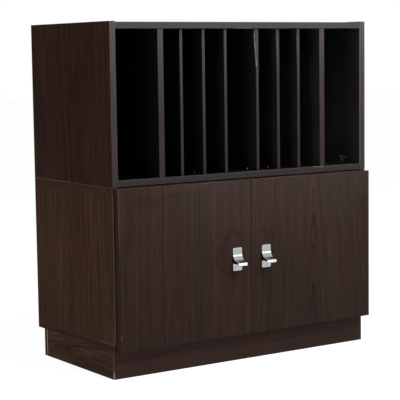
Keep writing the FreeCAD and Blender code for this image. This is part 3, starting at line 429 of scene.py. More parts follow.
def rosewood(name, along, heart=0.0, depth=0.02, taper=0.01, waves=0.007, gloss=0.03, contrast=1.0,
             red=RED_BROWN, grey=GREY_BROWN, foot=1.0, head=1.0, between=(0.06, 0.48), haze=0.0,
             arches=0.0, marks=()):
    """Rosewood-look foil. Its grain runs along one axis, and its arches stand over the heart.

    depth is how far the heart lies under the face, taper how fast the rings close along the grain, and
    waves how far the grain wanders. foot and head are how light it is at the two heights in between, as
    painted light and shade; haze how much glossier near a door's upper end, and arches how dark the lines
    of its arches are.
    """
    foil = Finish(name, roughness=0.5, gloss=gloss)
    if haze:
        high = foil.times(foil.fade(foil.axes["z"], *HAZE_HEIGHTS), foil.fade(foil.axes["x"], *HAZE_WIDTHS))
        foil.feed(foil.shader.inputs["Specular IOR Level"], foil.add(gloss, foil.times(high, haze)))
    length, width = foil.grain(along)
    sway = foil.noise(foil.stretched(length, width, SWAYS), detail=1)
    waver = foil.noise(foil.stretched(length, width, WAVERS, seed=3.0), rough=0.6)
    out = foil.add(width, -heart, foil.times(foil.add(sway, -0.5), SWAY_WIDE),
                   foil.times(foil.add(waver, -0.5), waves))
    ring = foil.calc("SQRT", foil.add(foil.times(out, out), depth * depth))
    ring = foil.add(ring, foil.times(length, taper), FIRST_RING)

    def rings(scale, rough, seed=0.0, detail=3):
        return foil.noise(foil.add(ring, seed), scale, detail, rough)

    streaks = foil.noise(foil.stretched(length, out, HUE_STREAKS, seed=1.0), detail=3, rough=0.6)
    hue = foil.add(foil.times(rings(HUES, rough=0.6), 0.6), foil.times(streaks, 0.4))
    lines = rings(LINES, rough=0.65, seed=3.7)
    flecks = foil.noise(foil.stretched(length, out, FLECKS), detail=3, rough=0.65)
    veins = foil.fade(rings(VEINS, rough=0.7, seed=1.3), 0.40, 0.30)
    hairs = foil.noise(foil.stretched(length, out, HAIRS), rough=0.6)
    pores = foil.fade(foil.noise(foil.stretched(length, out, PORES), detail=1), 0.56, 0.66)
    clouds = foil.noise(foil.stretched(length, width, CLOUDS, seed=9.0))

    def swing(value, amount):
        """About 1, and darker or lighter by an amount where the value swings."""
        return foil.fade(value, *WIDE_SPREAD, 1 - amount * contrast, 1 + amount * contrast)

    colour = foil.mix(foil.fade(hue, 0.36, 0.64), red, grey)
    colour = foil.mix(foil.times(veins, 0.32 * contrast), colour, DARK_VEIN)
    if arches:
        near = foil.fade(foil.calc("ABSOLUTE", out), ARCH_NEAR, ARCH_FAR, 1.0, 0.0)
        rims = foil.fade(rings(ARCH_RIMS, rough=0.5, seed=2.1, detail=2), 0.47, 0.36)
        colour = foil.mix(foil.times(near, rims, arches), colour, DARK_VEIN)
    strength = foil.times(
        swing(lines, 0.17), swing(flecks, 0.24), swing(hairs, 0.16), swing(clouds, 0.10),
        foil.fade(pores, 0.0, 1.0, 1.0, 0.75), foil.fade(foil.axes["z"], *between, foot, head))
    colour = foil.wear(foil.shade(colour, strength), marks)
    foil.bump(foil.add(foil.times(pores, -1.0), foil.times(hairs, 0.5)), PORE_DEPTH)
    return foil.finish(colour, foil.fade(hairs, *WIDEST_SPREAD, 0.46, 0.58))


def black_laminate(name, light=1.0, deep=1.0, marks=()):
    """The inside faces: matt near-black laminate with fine dust, and painted light that makes it greyer
    towards the right.

    deep is how light it is away from the front, as painted light.
    """
    sheet = Finish(name, roughness=0.5, gloss=0.02)
    dust = sheet.noise(sheet.place, scale=260.0, detail=3, rough=0.7)
    cloud = sheet.noise(sheet.place, scale=9.0)
    strength = sheet.times(
        sheet.fade(dust, 0.35, 0.75, 0.85, 1.3),
        sheet.fade(cloud, *SPREAD, 0.85, 1.15),
        sheet.fade(sheet.axes["x"], *LEFT_TO_RIGHT, 0.5, 2.5),
        sheet.fade(sheet.axes["y"], *FRONT_TO_MIDDLE, 1.0, deep),
        light)
    colour = sheet.wear(sheet.shade(tone(27, 27, 26), strength), marks)
    sheet.bump(sheet.noise(sheet.place, scale=900.0), 0.03 * MM)
    return sheet.finish(colour, sheet.fade(cloud, *SPREAD, 0.5, 0.6))


def raw_chipboard():
    """Bare chipboard: pale chips, dark flakes between them, and a rough face."""
    board = Finish("raw_chipboard", roughness=0.9, gloss=0.2)
    chips = board.noise(board.place, scale=420.0, detail=3, rough=0.7)
    flakes = board.noise(board.place, scale=130.0, rough=0.6)
    colour = board.mix(board.fade(chips, 0.35, 0.68), tone(118, 90, 64), tone(196, 168, 134))
    colour = board.mix(board.fade(flakes, 0.60, 0.68), colour, tone(92, 66, 46))
    board.bump(board.noise(board.place, scale=500.0, detail=3, rough=0.7), 0.3 * MM)
    return board.finish(colour)


def edge_band(name, along, gloss=0.12, first=tone(57, 47, 48), second=tone(51, 44, 46), marks=()):
    """Grey-brown band with fine lines along it."""
    band = Finish(name, roughness=0.36, gloss=gloss)
    length, width = band.grain(along)
    lines = band.noise(band.stretched(length, width, (700.0, 12.0)), detail=3, rough=0.6)
    streaks = band.noise(band.stretched(length, width, (220.0, 5.0), seed=7.0))
    clouds = band.noise(band.stretched(length, width, (90.0, 8.0), seed=5.0))
    colour = band.mix(band.fade(clouds, 0.35, 0.65), first, second)
    strength = band.times(
        band.fade(lines, *WIDE_SPREAD, 0.88, 1.12),
        band.fade(streaks, *WIDE_SPREAD, 0.90, 1.10))
    colour = band.wear(band.shade(colour, strength), marks)
    band.bump(lines, 0.03 * MM)
    return band.finish(colour, band.fade(lines, *WIDEST_SPREAD, 0.33, 0.40))


def hardboard():
    """The back panels' rough outer face: brown hardboard with a woven screen's print."""
    board = Finish("hardboard_rear", roughness=0.85, gloss=0.15)
    fibres = board.noise(board.place, scale=350.0, detail=4, rough=0.7)
    clouds = board.noise(board.place, scale=6.0, detail=3)
    colour = board.mix(board.fade(fibres, *SPREAD), tone(96, 66, 44), tone(134, 98, 68))
    colour = board.shade(colour, board.fade(clouds, *SPREAD, 0.9, 1.08))
    weave = [board.calc("SINE", board.times(board.axes[axis], SCREEN_WIRES)) for axis in "xz"]
    board.bump(board.add(board.times(*weave, 0.3), fibres), 0.15 * MM)
    return board.finish(colour)


def plain_wood(name, dark, pale, along):
    """Solid wood without a finish, with its grain along one axis."""
    wood = Finish(name, roughness=0.7, gloss=0.25)
    length, width = wood.grain(along)
    fibres = wood.noise(wood.stretched(length, width, (500.0, 25.0)), detail=3, rough=0.6)
    wood.bump(fibres, 0.08 * MM)
    colour = wood.mix(wood.fade(fibres, *SPREAD), dark, pale)
    return wood.finish(colour, wood.fade(fibres, *SPREAD, 0.62, 0.78))


def metal(name, dark, pale, smooth, dull):
    """Plated or bare metal, with stains that make its roughness go from smooth to dull."""
    plate = Finish(name, roughness=0.3, gloss=0.5, metal=1.0)
    stain = plate.noise(plate.place, scale=300.0, detail=3, rough=0.6)
    plate.bump(plate.noise(plate.place, scale=1800.0), 0.02 * MM)
    colour = plate.mix(plate.fade(stain, *SPREAD), dark, pale)
    return plate.finish(colour, plate.fade(stain, *SPREAD, smooth, dull))


def satin_handle_metal():
    """Satin plated metal with fine level brushing and a few faint marks."""
    plate = Finish("satin_handle_metal", roughness=0.3, gloss=0.5, metal=1.0)
    upright = plate.add(plate.axes["z"], plate.axes["y"])
    brushing = plate.noise(
        plate.vector(plate.times(plate.axes["x"], 90.0), 0.0, plate.times(upright, 5000.0)), detail=3)
    marks = plate.noise(plate.place, scale=160.0, detail=4, rough=0.7)
    colour = plate.shade(tone(172, 172, 171), plate.fade(marks, *SPREAD, 0.9, 1.05))
    roughness = plate.add(
        plate.fade(brushing, *SPREAD, 0.17, 0.24),
        plate.fade(marks, 0.55, 0.75, 0.0, 0.08))
    plate.bump(brushing, 0.01 * MM)
    return plate.finish(colour, roughness)


def moulded(name, dark, pale, gloss=0.4):
    """Moulded plastic with a fine grain, or a dull coat that looks like it."""
    plastic = Finish(name, roughness=0.5, gloss=gloss)
    grain = plastic.noise(plastic.place, scale=1200.0)
    plastic.bump(grain, 0.05 * MM)
    clouds = plastic.noise(plastic.place, scale=120.0)
    return plastic.finish(plastic.mix(clouds, dark, pale), plastic.fade(grain, *SPREAD, 0.42, 0.55))


# ---------------------------------------------------------------- coats on the boards

def coat(name, rules):
    """Give a board's faces the finish of the first rule that they meet.

    A rule is (material, test). A test takes a face's middle and its normal, and None is met by every face.
    """
    board = NODES[name] if isinstance(name, str) else name
    board.data.materials.clear()
    for material, test in rules:
        board.data.materials.append(material)
    for face in board.data.polygons:
        face.material_index = next(
            index for index, (material, test) in enumerate(rules)
            if test is None or test(face.center, face.normal))


def on_plane(axis, level):
    """A test for faces that lie on a plane across an axis."""
    index = "xyz".index(axis)
    return lambda centre, normal: abs(centre[index] - level) < SKIN and abs(normal[index]) > 0.9


def facing(axis, sign):
    index = "xyz".index(axis)
    return lambda centre, normal: normal[index] * sign > 0.7


def paint(material, *names):
    for name in names:
        coat(name, [(material, None)])


# ---------------------------------------------------------------- pieces

def use(piece):
    """Make a piece the only selected one."""
    bpy.ops.object.select_all(action="DESELECT")
    piece.select_set(True)
    bpy.context.view_layer.objects.active = piece


def eased_copy(node, name, width, rounded, shift=None):
    """A copy of a node's mesh with rounded arrises, that stands for the node.

    rounded takes the two ends of a sharp edge and says whether it is rounded. shift takes a corner's place
    and says how far the corner moves before that.
    """
    use(NODES[node])
    bpy.ops.object.duplicate()
    piece = bpy.context.object
    piece.name = name
    piece.data.name = name
    del piece["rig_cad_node"]
    use(piece)
    bpy.ops.object.mode_set(mode="EDIT")
    bpy.ops.mesh.select_mode(type="EDGE")
    bpy.ops.mesh.select_all(action="SELECT")
    bpy.ops.mesh.remove_doubles(threshold=WELD)
    bpy.ops.mesh.dissolve_limited(angle_limit=math.radians(FLAT_ANGLE))
    bpy.ops.object.mode_set(mode="OBJECT")
    if shift:
        for corner in piece.data.vertices:
            corner.co += shift(corner.co)
    bpy.ops.object.mode_set(mode="EDIT")
    bpy.ops.mesh.select_all(action="DESELECT")
    bpy.ops.mesh.edges_select_sharp(sharpness=math.radians(SHARP_ANGLE))
    bpy.ops.object.mode_set(mode="OBJECT")
    mesh = piece.data
    for edge in mesh.edges:
        start, end = [mesh.vertices[index].co for index in edge.vertices]
        edge.select = edge.select and rounded(start, end)
    bpy.ops.object.mode_set(mode="EDIT")
    bpy.ops.mesh.bevel(offset=width, segments=EASING_STEPS, affect="EDGES", profile=0.5)
    bpy.ops.object.mode_set(mode="OBJECT")
    bpy.ops.object.shade_smooth_by_angle(angle=math.radians(SMOOTH_ANGLE))
    even_normals(piece)
    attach(piece, NODES[node]["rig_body"])
    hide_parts(node)
    return piece


def even_normals(piece):
    """Let the large faces keep their own flat shading beside their rounded arrises."""
    use(piece)
    weighted = piece.modifiers.new("even_normals", "WEIGHTED_NORMAL")
    weighted.keep_sharp = True
    bpy.ops.object.modifier_apply(modifier=weighted.name)


def on_box_edge(low, high):
    """A test for the twelve edges of a box."""
    def chosen(start, end):
        planes = 0
        for axis in range(3):
            for level in (low[axis], high[axis]):
                if max(abs(start[axis] - level), abs(end[axis] - level)) < EDGE_SKIN:
                    planes += 1
        return planes >= 2
    return chosen


def make_doors(finishes):
    """The doors with rounded arrises. finishes are those of the two fronts and of all the edges."""
    for side in SIDES:
        low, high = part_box(f"door_{side}")
        door = eased_copy(f"door_{side}", f"door_leaf_{side}", DOOR_EASING, on_box_edge(low, high))
        coat(door, [(finishes[side], facing("y", -1)), (finishes["edges"], None)])


def left_door_marks():
    """Grease round the handle and on the hinge side, scratches at the top, a chip at the foot, and painted
    highlights along the left and upper arrises.
    """
    low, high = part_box("door_left")
    return [
        streak((-0.064, 0.350), (-0.082, 0.318),
               width=9 * MM, share=0.80, soft=5 * MM, ragged=6 * MM, grain=110),
        streak((-0.076, 0.330), (-0.112, 0.268),
               width=8 * MM, share=0.75, soft=5 * MM, ragged=6 * MM, grain=110),
        streak((-0.060, 0.342), (-0.038, 0.338), width=10 * MM, share=0.43, soft=6 * MM, ragged=4 * MM),
        streak((-0.042, 0.344), (-0.032, 0.312), width=6 * MM, share=0.70, soft=4 * MM, ragged=3 * MM),
        streak((-0.112, 0.262), (-0.064, 0.226),
               width=7 * MM, share=0.70, soft=5 * MM, ragged=6 * MM, grain=110),
        streak((-0.085, 0.312), (-0.090, 0.262), width=14 * MM, share=0.34, soft=9 * MM, ragged=6 * MM),
        streak((-0.350, 0.440), (-0.290, 0.430),
               width=22 * MM, share=0.53, soft=10 * MM, ragged=8 * MM, grain=60),
        streak((-0.318, 0.434), (-0.212, 0.452), width=3.4 * MM, share=0.78, soft=2 * MM, ragged=2 * MM),
        streak((-0.290, 0.428), (-0.225, 0.437), width=2.4 * MM, share=0.62, soft=2 * MM, ragged=2 * MM),
        streak((-0.260, 0.462), (-0.150, 0.466),
               width=9 * MM, share=0.26, soft=5 * MM, ragged=3 * MM, grain=60, colour=tone(84, 52, 34)),
        streak((-0.359, 0.387), (-0.392, 0.290),
               width=9 * MM, share=0.46, soft=7 * MM, ragged=7 * MM, grain=60),
        # painted highlight: a paler strip along the left arris, stronger towards the top
        *[mark((low.x - 20 * MM, low.y - 20 * MM, start),
               (low.x + 6 * MM, low.y + 20 * MM, high.z + 20 * MM), tone(86, 63, 55),
               share=0.16, soft=4 * MM, ragged=2 * MM, grain=60) for start in (0.325, 0.345, 0.365, 0.385)],
        # painted highlights along the upper arris, in two parts
        mark((low.x, low.y - MM, high.z - MM), (-0.150, low.y + 2 * MM, high.z + MM), ARRIS_HIGHLIGHT,
             share=0.35, soft=0.5 * MM, ragged=0.8 * MM, grain=40),
        mark((-0.150, low.y - MM, high.z - 1.2 * MM),
             (-0.085, low.y + 2 * MM, high.z + MM), tone(118, 84, 70),
             share=0.6, soft=0.5 * MM, ragged=0.8 * MM, grain=60),
        mark((low.x + 2.2 * MM, low.y - MM, 0.104),
             (low.x + 4.2 * MM, low.y + MM, 0.113), tone(120, 104, 96),
             share=0.6, soft=0.8 * MM, ragged=0.8 * MM, grain=500),
    ]


def door_top_marks():
    """The doors' upper edges, paler than their other edges: a painted highlight."""
    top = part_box("door_left")[1].z
    return [mark((-1, -1, top - 0.3 * MM), (1, 1, top + MM), tone(60, 46, 42), share=0.8, soft=0.2 * MM)]


def right_door_marks():
    """Grease at the upper outer corner and above the handle, and painted highlights along the upper and
    left arrises.
    """
    low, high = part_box("door_right")
    return [
        streak((0.335, 0.396), (0.358, 0.376), width=4 * MM, share=0.85, soft=3 * MM, ragged=3 * MM),
        streak((0.362, 0.402), (0.396, 0.396),
               width=12 * MM, share=0.70, soft=8 * MM, ragged=6 * MM, grain=60),
        streak((0.366, 0.392), (0.388, 0.340),
               width=20 * MM, share=0.65, soft=10 * MM, ragged=8 * MM, grain=60),
        streak((0.033, 0.345), (0.060, 0.318), width=12 * MM, share=0.70, soft=6 * MM, ragged=5 * MM),
        # painted highlight along the upper arris
        mark((0.050, low.y - MM, high.z - MM), (0.160, low.y + 2 * MM, high.z + MM), tone(104, 76, 62),
             share=0.45, soft=0.5 * MM, ragged=0.8 * MM, grain=60),
        # painted light along the left arris, where the rounded edge turns from the lamp
        mark((low.x, low.y - MM, low.z), (low.x + 1.2 * MM, high.y, high.z), tone(104, 78, 62),
             share=0.35, soft=0.5 * MM, ragged=0.8 * MM, grain=60),
    ]


def make_handles(finish):
    """The handles with their arrises rounded, as cast and polished metal has them."""
    handles = []
    for side in SIDES:
        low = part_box(f"handle_{side}")[0]
        door_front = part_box(f"door_{side}")[0].y

        def off_the_door(start, end, door_front=door_front):
            return max(start.y, end.y) < door_front + SKIN

        def settle(place, low=low):
            """Bring the sweep and the lip to their height, and lean the lip's front back."""
            height = place.z - low.z
            lift = SWEEP_LIFT if GRIP_HEIGHTS[0] < height < GRIP_HEIGHTS[1] else 0
            lean = LIP_LEAN * max(0, height - GRIP_HEIGHTS[0]) if place.y < low.y + LIP_THICK / 2 else 0
            return Vector((0, lean, lift))

        handle = eased_copy(f"handle_{side}", f"handle_grip_{side}", HANDLE_EASING, off_the_door, settle)
        coat(handle, [(finish, None)])
        handles.append(handle)
    return handles


def lift_foil(number, bulge, crest, finish):
    """Foil that has come off the upper front corner of a thin divider's left face."""
    low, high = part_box(f"divider_thin_{number}")
    front = low.y - FOIL_AHEAD
    bpy.ops.object.select_all(action="DESELECT")
    bpy.ops.mesh.primitive_grid_add(
        x_subdivisions=FOIL_CELLS[0], y_subdivisions=FOIL_CELLS[1], size=1, rotation=(0, -math.pi / 2, 0),
        location=(low.x - FOIL_OFF, front + LOOSE_DEPTH / 2, high.z - LOOSE_LENGTH / 2 - SKIN))
    foil = bpy.context.object
    foil.name = f"loose_foil_{number}"
    foil.data.name = foil.name
    foil.scale = (LOOSE_LENGTH, LOOSE_DEPTH, 1)
    bpy.ops.object.transform_apply(location=True, rotation=True, scale=True)
    loose = foil.vertex_groups.new(name="loose")
    for corner in foil.data.vertices:
        down = high.z - corner.co.z
        if down < crest:
            rise = 0.5 + 0.5 * math.sin(math.pi / 2 * down / crest)
        else:
            rise = math.cos(math.pi / 2 * (down - crest) / (LOOSE_LENGTH - crest)) ** 2
        peel = 1 - (corner.co.y - front) / LOOSE_DEPTH
        loose.add([corner.index], max(0.0, rise * peel ** PEEL_CURVE), "REPLACE")
    lift = foil.modifiers.new("lift", "DISPLACE")
    lift.direction = "X"
    lift.mid_level = 0
    lift.strength = -bulge
    lift.vertex_group = "loose"
    bpy.ops.object.modifier_apply(modifier=lift.name)
    thicken = foil.modifiers.new("thicken", "SOLIDIFY")
    thicken.thickness = FOIL_THICK
    thicken.offset = 1
    bpy.ops.object.modifier_apply(modifier=thicken.name)
    bpy.ops.object.shade_smooth_by_angle(angle=math.radians(SMOOTH_ANGLE))
    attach(foil, "cabinet")
    coat(foil, [(finish, None)])


# ---------------------------------------------------------------- the cabinet's finishes

def finish_upper_module(black, black_floor, raw):
    low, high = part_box("upper_side_left")
    back = high.y
    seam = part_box("lower_top_panel")[1].z
    inner = -low.x - BOARD
    side_foil = rosewood(
        "upper_side_foil", "z", heart=0.03, depth=0.008, taper=0.05, waves=0.012, gloss=0.01, contrast=1.7,
        red=tone(64, 36, 26), grey=tone(47, 33, 26), marks=[
            mark((low.x - MM, -0.14, 0.60), (low.x + MM, 0.40, 0.84), tone(34, 24, 20),
                 share=0.35, soft=60 * MM, ragged=30 * MM, grain=12),
            mark((low.x - MM, low.y, seam), (low.x + MM, high.y, seam + 0.9 * MM), WORN_EDGE,
                 share=0.45, soft=0.4 * MM, ragged=1.2 * MM, grain=60),
            mark((low.x - MM, 0.03, seam), (low.x + MM, high.y, seam + 1.2 * MM), WORN_EDGE,
                 share=0.6, soft=0.4 * MM, ragged=0.8 * MM, grain=90)])
    top_foil = rosewood("top_foil", "x", heart=0.9, red=tone(62, 38, 30), grey=tone(52, 38, 32))
    # painted light: the right side's inner face is lighter away from the front
    inner_wall = black_laminate("black_laminate_right", deep=2.6, marks=[
        mark((inner - 2 * MM, low.y, seam), (inner + 0.5 * MM, low.y + 3 * MM, high.z), tone(172, 158, 140),
             share=0.85, soft=0.3 * MM, ragged=0.8 * MM, grain=120)])
    for side, outer, inside in zip(SIDES, (low.x, -low.x), (black, inner_wall)):
        coat(f"upper_side_{side}", [
            (side_foil, on_plane("x", outer)),
            (raw, on_plane("y", back)),
            (side_foil, facing("z", 1)),
            (inside, None)])
    coat("upper_top_panel", [(raw, on_plane("y", back)), (top_foil, facing("z", 1)), (black, None)])
    coat("upper_bottom_panel", [(raw, on_plane("y", back)), (black_floor, None)])
    paint(black, *DIVIDERS)
    # painted light: the wide left divider's laminate is made lighter
    paint(black_laminate("black_laminate_left", light=1.6), "divider_wide_left")


def finish_loose_foils():
    """The three thin dividers whose foil has come loose at the top, with bare board behind it."""
    for number, (bulge, crest, bare, lip) in LOOSE_FOILS.items():
        name = f"divider_thin_{number}"
        low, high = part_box(name)
        top = high.z
        behind = mark((low.x - MM, low.y - MM, top - 0.9 * LOOSE_LENGTH),
                      (low.x + MM, low.y + 0.6 * LOOSE_DEPTH, top + MM), bare,
                      soft=1.5 * MM, ragged=3 * MM, grain=120)
        coat(name, [(black_laminate(f"black_laminate_divider_{number}", marks=[behind]), None)])
        lipping = mark((low.x - 20 * MM, low.y - 5 * MM, 0), (low.x, low.y, 1), lip, soft=0.2 * MM)
        lift_foil(number, bulge, crest, black_laminate(f"loose_foil_{number}", marks=[lipping]))


def finish_upper_bands(side_band, side_inner):
    """The floor's band is paler along its upper edge, and both bands are worn at one place."""
    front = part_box("upper_edge_bands")[0].y
    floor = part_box("upper_bottom_panel")[1].z
    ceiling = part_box("upper_top_panel")[0].z
    floor_band = edge_band("floor_band", "x", first=tone(49, 43, 42), second=tone(43, 40, 40), marks=[
        mark((-0.4, front - MM, floor - 1.3 * MM), (0.4, front + MM, floor + MM), tone(96, 80, 76),
             share=0.6, ragged=0.5 * MM, grain=60),
        mark((0.220, front - MM, floor - 1.5 * MM), (0.254, front + 4 * MM, floor + MM), WORN_EDGE,
             share=0.8, ragged=0.8 * MM, grain=200)])
    ceiling_band = edge_band(
        "ceiling_band", "x", gloss=0.09, first=tone(50, 43, 44), second=tone(45, 42, 44), marks=[
            mark((-0.024, front - MM, ceiling - MM), (0.026, front + 4 * MM, ceiling + 0.9 * MM),
                 tone(124, 104, 84), share=0.8, soft=0.4 * MM, ragged=0.7 * MM, grain=200)])
    coat("upper_edge_bands", [
        (side_band, lambda centre, normal: abs(centre.x) > side_inner - SKIN),
        (ceiling_band, lambda centre, normal: centre.z > ceiling - SKIN),
        (floor_band, None)])


def finish_lower_bands(side_band, side_inner):
    """The band in the gap over the doors has painted light along its upper edge, which lies in shade, and
    is paler at its left end.
    """
    low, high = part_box("lower_edge_bands")
    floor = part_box("lower_bottom_panel")[1].z
    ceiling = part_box("lower_top_panel")[0].z
    painted_light_from = high.z - 2.6 * MM
    gap_band = edge_band(
        "gap_band", "x", gloss=0.01, first=tone(60, 48, 45), second=tone(54, 45, 42), marks=[
            # painted light on the upper edge, in the gap's shade
            mark((low.x, low.y - MM, painted_light_from), (-0.20, low.y + MM, high.z + MM),
                 tone(108, 90, 84), soft=0.4 * MM),
            mark((-0.20, low.y - MM, painted_light_from), (0.26, low.y + MM, high.z + MM),
                 tone(146, 122, 114), soft=0.4 * MM),
            mark((low.x - MM, low.y, ceiling), (low.x + 0.9 * MM, low.y + 4 * MM, high.z),
                 tone(150, 140, 136), share=0.7, soft=0.4 * MM, ragged=0.4 * MM, grain=200)])

    def on_a_side(centre, normal):
        return floor - SKIN < centre.z < ceiling + SKIN and abs(centre.x) > side_inner - SKIN

    coat("lower_edge_bands", [(side_band, on_a_side), (gap_band, None)])


def finish_bands():
    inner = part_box("upper_bottom_panel")[1].x
    side_band = edge_band("side_band", "z", marks=[
        mark((inner - MM, -1, -1), (inner + 1.4 * MM, 1, 1), tone(86, 76, 76), share=0.7)])
    finish_upper_bands(side_band, inner)
    finish_lower_bands(side_band, inner)
    # painted shade: the dividers' bands are darker, as they stand back behind the front
    divider_band = edge_band("divider_band", "z", first=tone(50, 38, 36), second=tone(45, 36, 36))
    paint(divider_band, "divider_edge_bands")
    paint(edge_band("shelf_band", "x"), "shelf_edge_band")


def finish_lower_module(black, raw):
    low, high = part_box("lower_side_left")
    back = high.y
    side_foil = rosewood(
        "lower_side_foil", "z", heart=-0.36, depth=0.010, taper=0.05, waves=0.010, gloss=0.01,
        contrast=1.35, red=tone(78, 50, 37), grey=tone(66, 50, 39))
    for side, outer in zip(SIDES, (low.x, -low.x)):
        coat(f"lower_side_{side}", [
            (side_foil, on_plane("x", outer)),
            (raw, on_plane("y", back)),
            (black, None)])
    low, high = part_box("lower_bottom_panel")
    end_foil = rosewood(
        "panel_end_foil", "y", heart=0.3, gloss=0.01, red=tone(72, 44, 33), grey=tone(58, 43, 35), marks=[
            mark((low.x - MM, low.y, high.z - MM), (low.x + MM, high.y, high.z + MM), tone(96, 74, 60),
                 share=0.5, soft=0.4 * MM, ragged=0.5 * MM, grain=80),
            mark((low.x - MM, -0.178, high.z - 1.2 * MM), (low.x + MM, -0.11, high.z + MM), WORN_EDGE,
                 share=0.6, soft=0.4 * MM, ragged=0.5 * MM, grain=80)])
    top_foil = rosewood("module_top_foil", "x", heart=0.9, red=tone(78, 50, 40), grey=tone(66, 50, 43))
    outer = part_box("lower_top_panel")[1].x
    ends_and_back = [
        (end_foil, on_plane("x", outer)),
        (end_foil, on_plane("x", -outer)),
        (raw, on_plane("y", back))]
    coat("lower_top_panel", ends_and_back + [(top_foil, facing("z", 1)), (black, None)])
    coat("lower_bottom_panel", ends_and_back + [(black, None)])
    paint(black, "shelf")


def finish_backs(black, rear):
    for name in ("upper_back_panel", "lower_back_panel"):
        coat(name, [(rear, facing("y", 1)), (black, None)])


def finish_plinth(raw):
    """The plinth's front boards are worn to the chipboard along their left corner, most at the floor."""
    low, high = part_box("plinth_front")
    arris = [
        mark((low.x - MM, low.y - MM, 0.016), (low.x + 1.2 * MM, low.y + 1.6 * MM, high.z),
             WORN_EDGE, share=0.5, ragged=0.9 * MM, grain=120),
        mark((low.x - MM, low.y - MM, -MM), (low.x + 1.8 * MM, low.y + 2.6 * MM, 0.018),
             tone(190, 172, 150), share=0.9, ragged=0.9 * MM, grain=160)]
    front_foil = rosewood(
        "plinth_front_foil", "x", heart=0.04, depth=0.03, taper=0.02, waves=0.012, contrast=0.65,
        # painted light and shade: darker near the floor, lighter towards the top where the doors shade it
        red=tone(76, 54, 48), grey=tone(67, 54, 50), foot=0.86, head=1.45, between=(0.010, 0.055),
        marks=arris)
    side_foil = rosewood(
        "plinth_side_foil", "y", heart=-0.36, depth=0.012, taper=0.08, waves=0.030, gloss=0.01,
        contrast=1.7, red=tone(88, 58, 44), grey=tone(68, 53, 44), marks=arris)
    coat("plinth_front", [(front_foil, on_plane("y", low.y)), (raw, None)])
    for side, outer in zip(SIDES, (low.x, high.x)):
        coat(f"plinth_side_{side}", [(side_foil, on_plane("x", outer)), (raw, None)])
    back_low, back_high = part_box("plinth_back")
    end_foil = rosewood("plinth_back_end_foil", "z", heart=0.5, gloss=0.01, marks=[
        mark((low.x - MM, back_low.y - MM, -MM), (low.x + MM, back_low.y + 5.4 * MM, high.z),
             tone(172, 146, 120), soft=0.3 * MM, ragged=0.5 * MM, grain=200)])
    coat("plinth_back", [
        (front_foil, on_plane("y", back_high.y)),
        (end_foil, facing("x", -1)),
        (end_foil, facing("x", 1)),
        (raw, None)])


def in_the_upper_half(centre, normal):
    return centre.z > UPPER_HALF


def on_a_bright_pin(centre, normal):
    return centre.z < UPPER_HALF and any(abs(centre.x - pin) < PIN_REACH for pin in BRIGHT_PINS)


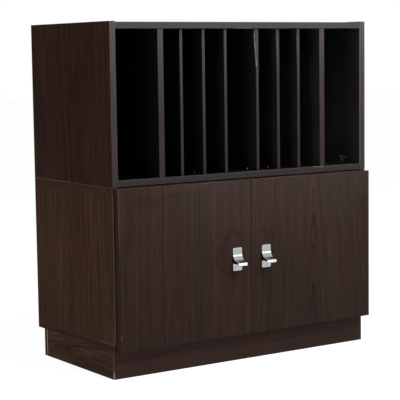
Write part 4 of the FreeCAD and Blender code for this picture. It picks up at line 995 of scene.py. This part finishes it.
def finish_fittings():
    zinc = metal("zinc_plate", tone(150, 152, 156), tone(196, 198, 200), 0.25, 0.4)
    # painted shade: zinc darkened for the fittings in the shaded upper corners
    shaded_zinc = metal("zinc_painted_shade", tone(52, 52, 52), tone(84, 84, 84), 0.45, 0.6)
    # painted shade: zinc darkened further for the lower pins deep in shade
    deeply_shaded_zinc = metal("zinc_painted_deep_shade", tone(24, 24, 24), tone(36, 36, 36), 0.5, 0.65)
    by_slot = {
        "steel": zinc,
        "hinge_metal": metal("bronzed_hinge_steel", tone(50, 42, 36), tone(64, 54, 46), 0.35, 0.5),
        "magnet": metal("ferrite", tone(60, 60, 62), tone(82, 82, 84), 0.5, 0.65),
        "dowel_wood": plain_wood("turned_beech", tone(176, 140, 98), tone(212, 178, 132), "x"),
        "raw_wood": plain_wood("sawn_pine", tone(176, 138, 90), tone(214, 178, 128), "z"),
    }
    for part in frame["record"]["subparts"]:
        if part["material_slot"] in by_slot:
            paint(by_slot[part["material_slot"]], part["node"])
    coat("divider_pins", [(zinc, on_a_bright_pin), (shaded_zinc, in_the_upper_half), (deeply_shaded_zinc, None)])
    # painted highlight: a pale, non-metal colour stands in for the glint of the lower screws
    glinting_screw = moulded("screw_painted_glint", tone(168, 174, 172), tone(190, 196, 194), gloss=0.5)
    coat("connector_screws", [(shaded_zinc, in_the_upper_half), (glinting_screw, None)])
    connector = moulded("connector_plastic", tone(62, 50, 52), tone(70, 58, 60))
    connector_front = moulded("connector_front_plastic", tone(17, 17, 17), tone(22, 21, 21), gloss=0.06)
    coat("corner_connectors", [(connector_front, facing("y", -1)), (connector, None)])
    paint(moulded("catch_plastic", tone(70, 52, 40), tone(82, 62, 48)), "catch_housings")


set_up_camera()
set_up_room()
lay_floor()
soft_lamp("key_lamp", at=(0.7, -1.5, 2.6), towards=(0, 0, 0.5), size=(1.8, 1.8), power=104, sheen=False)
soft_lamp("fill_lamp", at=(-3.0, -0.9, 0.3), towards=(-0.2, 0, 0.3), size=(2.0, 1.6), power=34)
sheen_lamp = soft_lamp("sheen_lamp", at=(0.6, -1.35, 1.15), towards=(0.1, -0.2, 0.85),
                       size=(2.0, 0.5), power=38, colour=False)
strip_lamp = soft_lamp("strip_lamp", at=(1.0, -1.67, 0.80), towards=(0, -0.2, 0.27),
                       size=(1.6, 0.26), power=8, colour=False)
strip_lamp.data.color = STRIP_COLOUR

black = black_laminate("black_laminate")
raw = raw_chipboard()
# painted shade: the compartments' floor laminate is made far darker
finish_upper_module(black, black_laminate("black_laminate_floor", light=0.13), raw)
finish_loose_foils()
finish_bands()
finish_lower_module(black, raw)
finish_backs(black, hardboard())
finish_plinth(raw)
finish_fittings()
make_doors({
    "left": rosewood(
        "door_foil_left", "z", heart=-0.62, depth=0.03, taper=-0.012, gloss=0.065, red=tone(60, 39, 32),
        # painted shade: foot and head darken the door towards its foot
        foot=0.80, head=0.90, haze=0.055, marks=left_door_marks()),
    "right": rosewood(
        "door_foil_right", "z", heart=0.0, depth=0.010, taper=0.07, gloss=0.065,
        # painted shade: foot and head darken the door towards its foot
        foot=0.84, head=0.98, haze=0.055, arches=0.8, marks=right_door_marks()),
    "edges": rosewood(
        "door_edge_foil", "z", heart=0.5, gloss=0.01, red=tone(64, 41, 32), grey=tone(54, 40, 33),
        marks=door_top_marks()),
})
handles = make_handles(satin_handle_metal())
keep_lamp(sheen_lamp, handles, "EXCLUDE")
keep_lamp(strip_lamp, handles, "INCLUDE")

bpy.context.scene.view_settings.view_transform = "Standard"
